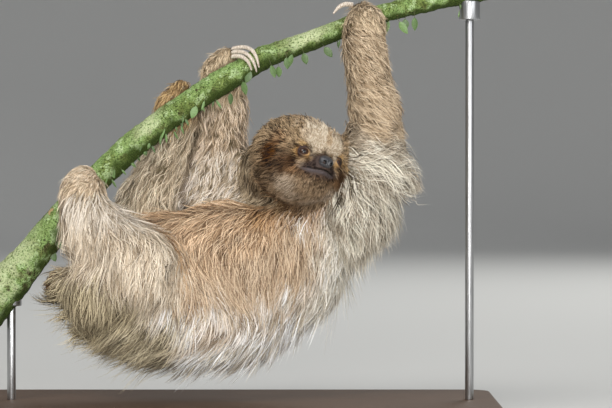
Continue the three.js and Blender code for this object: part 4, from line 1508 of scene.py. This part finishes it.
    def mesh(self, verts: Array, stops: int) -> Mesh:
        """Joins the strands' corners into faces."""
        count, each = verts.shape[:2]
        quads = [(2 * i, 2 * i + 1, 2 * i + 3, 2 * i + 2) for i in range(stops - 2)]
        sizes = [4] * len(quads) + [3]
        pattern = np.array([c for quad in quads for c in quad] + [each - 3, each - 2, each - 1])
        loops = (np.arange(count)[:, None] * each + pattern[None]).ravel()
        totals = np.tile(sizes, count)
        mesh = bpy.data.meshes.new(self.name)
        mesh.vertices.add(count * each)
        put_vertices(mesh, verts)
        mesh.loops.add(len(loops))
        mesh.loops.foreach_set("vertex_index", loops.astype(np.int32))
        mesh.polygons.add(len(totals))
        mesh.polygons.foreach_set("loop_start", np.r_[0, np.cumsum(totals)[:-1]].astype(np.int32))
        mesh.update(calc_edges=True)
        return mesh

    def colours(self, combed: Combed, strands: Strands, rng: np.random.Generator, stops: int) -> Array:
        """Colours every strand from its dark root to its lighter tip."""
        near = strands.near
        tones = MARKINGS.tones(strands.joints[:, -2], combed.normals[near, 2], combed.labels[near])
        dark, middle, light = tones[:, 0], tones[:, 1], tones[:, 2]
        tone = np.clip(strands.tone, -1.3, 1.5)[:, None]
        body = middle + np.where(tone < 0, middle - dark, light - middle) * tone * 0.85
        tip = body + (light - body) * 0.3
        root = 0.4 * body + 0.3 * dark
        shade = np.empty((len(near), stops, 3))
        for i, t in enumerate(np.linspace(0, 1, stops)):
            early, late = min(t / 0.45, 1), max((t - 0.45) / 0.55, 0)
            shade[:, i] = root + (body - root) * early + (tip - body) * late
        shade *= 1 + 0.05 * rng.normal(size=(len(near), 1, 1))
        ladder = np.repeat(shade[:, :-1], 2, axis=1)
        return np.clip(np.concatenate([ladder, shade[:, -1:]], axis=1), 0.003, 0.95)

    def map(self, mesh: Mesh, combed: Combed, roots: Array, near: Array, stops: int) -> None:
        """Gives each strand a small patch of its own at its root's place on the unwrapped skin."""
        flat = np.zeros((len(roots), 2))
        cells = math.ceil(math.sqrt(len(self.parts)))
        for i, part in enumerate(self.parts):
            chosen = of_parts(combed.labels[near], part)
            if chosen.any():
                corner = np.array([i % cells, i // cells])
                flat[chosen] = (corner + 0.02 + 0.96 * ANATOMY.unwrap(roots[chosen], part)) / cells
        flat = np.clip(flat, 0.002, 0.998)
        rungs = np.repeat(np.linspace(-0.5, 0.5, stops)[:-1], 2)
        sides = np.tile([-0.5, 0.5], stops - 1)
        offset = np.concatenate([np.stack([sides, rungs], axis=1), [[0.0, 0.5]]])
        patch = flat[:, None] + self.patch * offset[None]
        layer = mesh.uv_layers.new(name="OFBake")
        corners = read(mesh.loops, "vertex_index", 1, int)
        layer.data.foreach_set("uv", patch.reshape(-1, 2)[corners].astype(np.float32).ravel())


# ------------------------------------------------------------------ the branch

BRANCH_LINE = [
    (-292, 116, 27),
    (-231, 186, 20.5),
    (-184, 243, 17.6),
    (-121, 307.5, 15.4),
    (-37, 369.5, 15.2),
    (0, 391.5, 14.8),
    (34, 411.5, 13.4),
    (61, 421.5, 12.4),
    (90, 431.5, 11.8),
    (173, 463, 11.2),
    (292, 489, 11.6),
]

# Where along the branch the leaves hang.
SMALL_LEAVES = (
    *(-57, -63, -72, -79, -84, -96, -102, -106, -113, -119, -125, -132, -138, -143),
    *(-33, -23, 118, 140, 262),
)
BROAD_LEAVES = (-42, -5, 9, 20, 40, 50, 59, 67, 78, 100, 178, 186, 196, 206, -205, -212, -236, -225)


def branch_at(x: Array) -> tuple[Array, Array]:
    """The height of the branch's middle and its radius, where it passes some values of x."""
    line = np.array(BRANCH_LINE, dtype=float)
    return np.interp(x, line[:, 0], line[:, 1]), np.interp(x, line[:, 0], line[:, 2])


def clear_of_branch(joints: Array) -> Array:
    """Which strands stay out of the branch."""
    z, r = branch_at(joints[..., 0])
    slope = (branch_at(joints[..., 0] + 2)[0] - z) / 2
    off = np.hypot((joints[..., 2] - z) / np.sqrt(1 + slope**2), joints[..., 1])
    return (off > r * 0.97).all(axis=1)


@dataclass
class Branch:
    """The cut branch, with its leaves."""

    nodes: dict[str, Object]
    voxel: float = 2.4
    seed: int = 12

    def build(self) -> None:
        """Makes the bark and the leaves."""
        self.bark()
        self.leaves()

    def bark(self) -> None:
        """Roughens a finer copy of the branch's solid into knotty bark."""
        mesh = remeshed("branch", copy_of(self.nodes["perch_branch"]), self.voxel)
        edges = edges_of(mesh)
        points = smoothed(vertices_of(mesh), edges, 4)
        put_vertices(mesh, points)
        mesh.update()
        normals = read(mesh.vertex_normals, "vector")
        end = np.minimum(points[:, 0].max() - points[:, 0], points[:, 0] - points[:, 0].min())
        side = ease(2, 12, end)
        bumps = 0.5 * drift(points, 16, 51) + 0.4 * drift(points, 6, 52) + 0.45 * np.abs(drift(points, 3, 53))
        points = points + normals * (side * (bumps + 0.1))[:, None]
        put_vertices(mesh, points)
        up = normals[:, 2] * 0.75 - normals[:, 1] * 0.45 + 0.25 * drift(points, 20, 54)
        # How far the bark faces down, where it is darker green.
        facing_down = ease(-0.1, -0.6, normals[:, 2] + 0.3 * drift(points, 12, 55))
        crust = bell(points[:, 0] - 84, 24) + 0.8 * bell(points[:, 0] + 100, 14)
        crust += 0.7 * ease(-215, -245, points[:, 0])
        crust *= ease(-0.1, 0.5, normals[:, 2] - 0.3 * normals[:, 1] + 0.4 * drift(points, 9, 56))
        paint(mesh, np.stack([0.5 + 0.5 * np.clip(up, -1, 1), facing_down, np.clip(crust, 0, 1)], axis=1))
        obj = piece("branch", mesh, BarkFinish().material())
        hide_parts("perch_branch")

    def leaves(self) -> None:
        """Hangs small oval leaves and fine leaflets under the branch."""
        rng = np.random.default_rng(self.seed)
        bm = bmesh.new()
        tint = bm.verts.layers.float_color.new(TINT)
        for x in SMALL_LEAVES:
            self.leaf(bm, tint, x, rng, (8, 12), (2.4, 3.4), (0.5, 5))
            self.leaf(bm, tint, x + rng.uniform(-5, 5), rng, (5, 9), (2, 3), (0, 3))
        for x in BROAD_LEAVES:
            self.leaf(bm, tint, x, rng, (12, 17), (7, 9), (2, 7))
        piece("branch_leaves", mesh_of("branch_leaves", bm), LeafFinish().material())

    def leaf(
        self,
        bm: BMesh,
        tint: object,
        x: float,
        rng: np.random.Generator,
        lengths: tuple[float, float],
        widths: tuple[float, float],
        drops: tuple[float, float],
    ) -> None:
        """Adds one leaf on a short stalk.

        Args:
            bm: what the leaf is added to.
            tint: its colour layer.
            x: where along the branch it hangs.
            rng: the source of its small differences.
            lengths: the least and the most of the blade's length.
            widths: the same for its width.
            drops: the same for how far below the bark it starts.
        """
        length, width, drop = (rng.uniform(*ends) for ends in (lengths, widths, drops))
        z, r = (float(v[0]) for v in branch_at(np.array([x])))
        lean = rng.uniform(-0.7, 0.5)
        y = -r * rng.uniform(0.2, 0.95)
        top = z - math.sqrt(max(r * r - y * y, 1)) + 1
        green = np.array([0.115, 0.19, 0.07]) * rng.uniform(0.7, 1.5)
        made = bmesh.ops.create_grid(bm, x_segments=3, y_segments=6, size=0.5)["verts"]
        for vert in made:
            s, t = vert.co.x * 2, vert.co.y + 0.5
            breadth = math.sin(math.pi * min(t * 0.97 + 0.03, 1) ** 0.85) ** 0.8
            vert.co = Vector((s * 0.5 * width * breadth, 0.6 * abs(s) + 1.2 * t * t, -t * length))
            shade = 1.25 if abs(s) < 0.1 else 1.0
            vert[tint] = (*(green * shade), 1.0)
        stalk = bmesh.ops.create_cone(bm, segments=5, radius1=0.35, radius2=0.25, depth=drop + 2)["verts"]
        for vert in stalk:
            vert.co += Vector((0, 0, (drop + 2) / 2))
            vert[tint] = (0.09, 0.10, 0.04, 1.0)
        turn = Matrix.Rotation(lean, 4, "Y") @ Matrix.Rotation(rng.uniform(-0.6, 0.6), 4, "Z")
        place = Matrix.Translation(Vector((x, y, top - drop)) * MM) @ Matrix.Scale(MM, 4)
        pivot = Matrix.Translation((0, 0, drop)) @ turn @ Matrix.Translation((0, 0, -drop))
        bmesh.ops.transform(bm, matrix=place @ pivot, verts=made + stalk)


# ------------------------------------------------------------------ eyes, nose, claws


@dataclass
class Face:
    """The eyes and the nose."""

    # The eye's pupil, iris and white: how far each reaches from the gaze, in degrees, and its colour.
    rings: tuple[tuple[float, Colour], ...] = (
        (15, (0.004, 0.003, 0.003)),
        (42, (0.038, 0.016, 0.008)),
        (181, (0.018, 0.010, 0.008)),
    )

    def build(self) -> None:
        """Makes both eyes and the nose."""
        finish = EyeFinish().material()
        for side, name in ((-1, "eye_right"), (1, "eye_left")):
            self.eye(side, name, finish)
        self.nose()

    def eye(self, side: int, name: str, finish: Material) -> None:
        """Makes one eyeball with a domed cornea, an iris and a pupil."""
        gaze, _, _ = eye_axes(side)
        spot = HEAD.world(EYE_SPOT * [1, side, 1])
        bm = bmesh.new()
        bmesh.ops.create_uvsphere(bm, u_segments=56, v_segments=36, radius=EYE_RADIUS)
        turn = Vector((0, 0, 1)).rotation_difference(Vector(gaze))
        bmesh.ops.rotate(bm, verts=bm.verts, matrix=turn.to_matrix())
        tint = bm.verts.layers.float_color.new(TINT)
        for vert in bm.verts:
            ahead = math.degrees(math.acos(max(-1.0, min(1.0, vert.co.normalized().dot(Vector(gaze))))))
            vert.co *= 1 + 0.045 * math.exp(-((ahead / 30) ** 2))
            colour = next(shade for limit, shade in self.rings if ahead < limit)
            vert[tint] = (*colour, 1.0)
        bmesh.ops.translate(bm, verts=bm.verts, vec=Vector(spot))
        bmesh.ops.scale(bm, verts=bm.verts, vec=(MM, MM, MM))
        obj = piece(f"{name}_ball", mesh_of(name, bm), finish)
        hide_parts(name)

    def nose(self) -> None:
        """Makes the nose pad, with two nostrils and a groove between them."""
        bm = bmesh.new()
        bmesh.ops.create_icosphere(bm, subdivisions=6, radius=1)
        tint = bm.verts.layers.float_color.new(TINT)
        half = np.array([6.0, 8.7, 6.9])
        local = np.array([v.co for v in bm.verts])
        square = np.sign(local) * np.abs(local) ** np.array([1.0, 0.86, 0.86])
        shape = square * half
        side = np.abs(shape[:, 1])
        high = shape[:, 2]
        hole = np.hypot((side - 4.3) / 2.1, (high + 1.7 - 0.25 * (side - 4.3)) / 2.2)
        slot = np.hypot((side - 6.8) / 2.0, (high + 2.8) / 0.8)
        front = ease(0.0, 0.35, local[:, 0])
        deep = 3.4 * ease(1.15, 0.75, hole) + 1.1 * ease(1.2, 0.6, slot)
        rim = 0.45 * bell(hole - 1.45, 0.3)
        groove = 0.55 * bell(shape[:, 1], 0.6) * ease(2.5, -2, high)
        shape[:, 0] += front * (rim - deep - groove) + 0.10 * drift(shape, 1.1, 61)
        shape[:, 0] -= 0.9 * ease(2, 7, high)
        # Painted shade: the nostrils and their slits are darkened almost to black.
        inside = np.maximum(ease(1.2, 0.8, hole), 0.6 * ease(1.2, 0.6, slot))
        shade = 1 - 0.98 * front * inside
        places = HEAD.world(shape + NOSE_SPOT + [-0.2, 0, 0.2])
        for vert, place, value in zip(bm.verts, places, shade):
            vert.co = Vector(place) * MM
            vert[tint] = (value, value, value, 1.0)
        obj = piece("nose_pad", mesh_of("nose_pad", bm), NoseFinish().material())
        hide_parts("nose")


@dataclass
class Claws:
    """The claws, as smooth horns over their coarse solids."""

    nodes: dict[str, Object]

    def build(self) -> None:
        """Rounds each claw's solid and gives it its horn."""
        finish = HornFinish().material()
        for name in sorted(self.nodes):
            if not name.startswith("claw_"):
                continue
            obj = piece(f"{name}_horn", mesh_of(name, copy_of(self.nodes[name])), finish)
            change = obj.modifiers.new("round", "SUBSURF")
            change.levels = change.render_levels = 2
            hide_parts(name)


# ------------------------------------------------------------------ the stand


@dataclass
class Stand:
    """The plain display stand: a wooden base, and a steel rod and cradle at each end of the branch."""

    corner: float = 26
    edge: float = 3
    segments: int = 48
    rod: float = 0.005  # radius, in metres like the next two
    cradle: float = 0.012  # radius
    cradle_tall: float = 0.022

    def build(self) -> None:
        """Makes the base, the rods and the cradles."""
        steel = SteelFinish().material()
        self.base()
        for side in ("left", "right"):
            self.post(f"stand_rod_{side}", steel, 0.4)
            self.post(f"stand_cradle_{side}", steel, 1.2)

    def base(self) -> None:
        """Makes the plate, with round corners and a soft top edge."""
        low, high = (Vector(corner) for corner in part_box("stand_base"))
        bm = bmesh.new()
        bmesh.ops.create_cube(bm, size=1)
        bmesh.ops.scale(bm, verts=bm.verts, vec=high - low)
        bmesh.ops.translate(bm, verts=bm.verts, vec=(low + high) / 2)
        upright = [e for e in bm.edges if abs(e.verts[0].co.z - e.verts[1].co.z) > 0.01]
        self.bevel(bm, upright, self.corner, 14)
        top = high.z - 1e-5
        rims = [e for e in bm.edges if all(v.co.z > top for v in e.verts) and len(e.link_faces) == 2]
        self.bevel(bm, rims, self.edge, 5)
        name = "stand_base_plate"
        obj = piece(name, mesh_of(name, bm), WoodFinish().material(), False)
        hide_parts("stand_base")

    @staticmethod
    def bevel(bm: BMesh, edges: list[BMEdge], size: float, segments: int) -> None:
        """Rounds some edges, by a size in millimetres."""
        bmesh.ops.bevel(
            bm, geom=edges, offset=size * MM, segments=segments, profile=0.5, affect="EDGES", material=-1
        )

    def post(self, node: str, steel: Material, edge: float) -> None:
        """Makes one upright round post over a solid, with soft edges at its ends."""
        low, high = (Vector(corner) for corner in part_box(node))
        centre = (low + high) / 2
        is_rod = "rod" in node
        reach = (high.z - low.z) if is_rod else self.cradle_tall
        radius = self.rod if is_rod else self.cradle
        centre.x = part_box(node.replace("cradle", "rod"))[0][0] + self.rod
        centre.y = 0.0
        centre.z = low.z + reach / 2
        bm = bmesh.new()
        bmesh.ops.create_cone(
            bm, cap_ends=True, segments=self.segments, radius1=radius, radius2=radius, depth=reach,
            matrix=Matrix.Translation(centre),
        )
        rims = [e for e in bm.edges if abs(e.verts[0].co.z - e.verts[1].co.z) < 1e-6]
        self.bevel(bm, rims, edge, 3)
        obj = piece(f"{node}_steel", mesh_of(node, bm), steel)
        for face in obj.data.polygons:
            face.use_smooth = abs(face.normal.z) < 0.9
        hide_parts(node)


# ------------------------------------------------------------------ the studio


@dataclass(frozen=True)
class Lamp:
    """One soft lamp."""

    name: str
    place: tuple[float, float, float]
    aim: tuple[float, float, float]
    size: float
    power: float
    colour: Colour = (1.0, 1.0, 1.0)

    def build(self) -> None:
        """Hangs the lamp."""
        data = bpy.data.lights.new(self.name, "AREA")
        data.shape = "DISK"
        data.size = self.size
        data.energy = self.power
        data.color = self.colour
        obj = placed(self.name, data)
        obj.location = self.place
        obj.rotation_euler = (Vector(self.aim) - Vector(self.place)).to_track_quat("-Z", "Y").to_euler()
        obj.visible_camera = False


@dataclass(frozen=True)
class Studio:
    """A pale floor, soft light, and the camera."""

    target: tuple[float, float, float] = (0.082, 0.0, 0.243)
    distance: float = 3.0
    rise: float = 0.7
    width: float = 0.704
    flat: float = 6.6  # how far out the floor is level
    reach: float = 12.0
    sweep: float = 0.3  # how steeply it rises beyond that
    sensor: float = 36
    sky: Colour = (0.93, 0.96, 1.0)
    sky_strength: float = 0.36

    def build(self) -> None:
        """Sets up the studio."""
        self.floor()
        self.light()
        self.camera()

    def floor(self) -> None:
        """Lays a pale floor that sweeps up far out, all round the part."""
        bm = bmesh.new()
        bmesh.ops.create_grid(bm, x_segments=64, y_segments=64, size=self.reach)
        for vert in bm.verts:
            vert.co.z = self.sweep * max(vert.co.xy.length - self.flat, 0) ** 2
        s = Shader("floor_pale", Base_Color=(0.55, 0.55, 0.54), Roughness=0.9, Specular_IOR_Level=0.1)
        mesh = mesh_of("floor", bm)
        mesh.materials.append(s.material)
        mesh.shade_smooth()
        placed("floor", mesh)

    def light(self) -> None:
        """Lights the part softly from above, from the viewer's side and from behind."""
        world = bpy.data.worlds.new("studio")
        world.use_nodes = True
        sky = world.node_tree.nodes["Background"].inputs
        sky["Color"].default_value = (*self.sky, 1.0)
        sky["Strength"].default_value = self.sky_strength
        bpy.context.scene.world = world
        for lamp in (
            Lamp("key", (-2.4, -4.1, 4.5), (0, 0, 0.25), 3.4, 222, (1.0, 0.975, 0.94)),
            Lamp("fill", (3.6, -4.5, 2.0), (0.05, 0, 0.25), 3.6, 94, (0.96, 0.98, 1.0)),
            Lamp("low", (0.1, -2.8, 0.5), (0.02, 0, 0.2), 0.9, 50, (1.0, 0.99, 0.97)),
            Lamp("rim", (2.3, 3.5, 3.2), (0, 0, 0.25), 3.0, 136, (1.0, 1.0, 0.97)),
        ):
            lamp.build()

    def camera(self) -> None:
        """Looks at the part from its side with a long lens."""
        data = bpy.data.cameras.new("camera")
        data.sensor_width = self.sensor
        data.lens = self.sensor * self.distance / self.width
        data.clip_end = 50
        obj = placed("camera", data)
        rise = math.radians(self.rise)
        target = Vector(self.target)
        obj.location = target + Vector((0, -math.cos(rise), math.sin(rise))) * self.distance
        obj.rotation_euler = (target - obj.location).to_track_quat("-Z", "Y").to_euler()
        bpy.context.scene.camera = obj
        bpy.context.scene.view_settings.view_transform = "Standard"


# ------------------------------------------------------------------ the whole


def coat_pieces() -> list[CoatPiece]:
    """The coat, divided so that each piece stays light."""
    left_leg = (Part.LEG_THIGH_LEFT, Part.LEG_SHANK_LEFT)
    right_leg = (Part.LEG_THIGH_RIGHT, Part.LEG_SHANK_RIGHT)
    right_arm = (Part.ARM_UPPER_RIGHT, Part.ARM_FORE_RIGHT)
    trunk, head, upper_arm = (Part.TRUNK,), (Part.HEAD,), (Part.ARM_UPPER_LEFT,)

    def crown(p: Array) -> Array:
        """Which places on the head grow the longer hair of the crown and the sides."""
        f, l, u = HEAD.local(p).T
        patchy = 3 * drift(p, 9, 71)
        return (f + patchy < 14) | (np.abs(l) + patchy > 36) | (u + patchy > 27)

    def elbow(p: Array) -> Array:
        """Which places on the near upper arm grow the shorter hair of the elbow."""
        return p[:, 2] + 12 * drift(p, 12, 72) > 292

    def fringe(p: Array) -> Array:
        """Which places grow sparse long wisps: the near shoulder, and the keel of the rump."""
        x, y, z = p.T
        return (y < 25) & (((x > 112) & (z > 150) & (z < 300)) | ((x < -60) & (z < 125)))

    face = Hair(
        32000, 2, 0.41, lock=6, curl=0.3, stray=0.015, stand=2, under=0.12, sag=0.02, fleck=1.9
    )
    long = Hair(26000, 4, 0.66, longer=1.25)
    short = Hair(
        22000, 3, 0.6, gather=0.55, stand=5, sag=0.04, curl=0.8, fleck=1.35, wisps=0.2
    )
    sides = replace(face, strands=28000, joints=3, width=0.66, lock=4, stray=0.06, stand=5)
    keel = replace(long, width=0.8, lock=8, gather=0.75, stray=0.22, stand=14.0, sag=0.15)
    mane = replace(long, strands=12000, joints=5, width=0.54, curl=1.8, stray=0.36, stand=17)
    loose = Hair(3000, 5, 0.4, lock=3, gather=0.35, curl=2.2, stray=0.5, stand=18, longer=1.3)
    sleeve = replace(long, strands=8000, width=0.54, curl=1.2, stray=0.1, stand=6)
    far_arm = replace(long, strands=13500, width=0.56, longer=0.85, curl=1.3)
    return [
        CoatPiece("coat_face", head, face, where=lambda p: ~crown(p), slot="coat_face", seed=2),
        CoatPiece(
            "coat_crown",
            head,
            replace(sides, under=0.3, fleck=2.9, wisps=0.25),
            where=crown,
            slot="coat_face",
            seed=13,
        ),
        CoatPiece(
            "coat_neck", (Part.NECK, Part.TAIL), replace(short, strands=7000, width=0.75, fleck=1.8), seed=3
        ),
        CoatPiece("coat_flank_upper", trunk, long, Side.NEAR, lambda p: p[:, 2] > 140, seed=4),
        CoatPiece(
            "coat_flank_lower",
            trunk,
            replace(keel, fleck=2.1, wisps=0.26),
            Side.NEAR,
            lambda p: p[:, 2] <= 140,
            seed=5,
        ),
        CoatPiece("coat_flank_far", trunk, replace(long, strands=14000, width=0.85), Side.FAR, seed=6),
        CoatPiece(
            "coat_leg_near",
            left_leg,
            replace(long, strands=25000, stray=0.14, stand=9, wisps=0.24),
            seed=7,
        ),
        CoatPiece(
            "coat_leg_far",
            right_leg,
            replace(long, strands=13000, width=0.58, longer=0.95, curl=1.3),
            seed=8,
        ),
        CoatPiece(
            "coat_shoulder",
            upper_arm,
            replace(mane, longer=1.5, fleck=1.9, wisps=0.3),
            where=lambda p: ~elbow(p),
            seed=9,
        ),
        CoatPiece(
            "coat_fringe",
            (Part.ARM_UPPER_LEFT, Part.TRUNK, Part.LEG_THIGH_LEFT),
            replace(loose, under=0, sag=0.25, wisps=0.6),
            where=fringe,
            seed=15,
        ),
        CoatPiece(
            "coat_elbow",
            upper_arm,
            replace(sleeve, longer=0.8, wisps=0.25),
            where=elbow,
            seed=14,
        ),
        CoatPiece("coat_forearm", (Part.ARM_FORE_LEFT,), short, seed=10),
        CoatPiece("coat_arm_far", right_arm, replace(far_arm, fleck=1.3, wisps=0.2), seed=11),
        CoatPiece("coat_hands", EXTREMITIES, replace(short, strands=21000, width=0.44, fleck=1.0), seed=12),
    ]


def main() -> None:
    """Builds the studio, the animal and its stand."""
    logging.basicConfig(level=logging.INFO, format="%(name)s: %(message)s")
    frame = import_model()
    nodes = frame["nodes"]
    Studio().build()
    Stand().build()
    Branch(nodes).build()
    Claws(nodes).build()
    Face().build()
    skin = Skin(nodes)
    skin.build()
    combed = Combed(skin)
    hair = CoatFinish().material()
    for coat in coat_pieces():
        coat.grow(combed, hair)


if __name__ == "__main__":
    main()
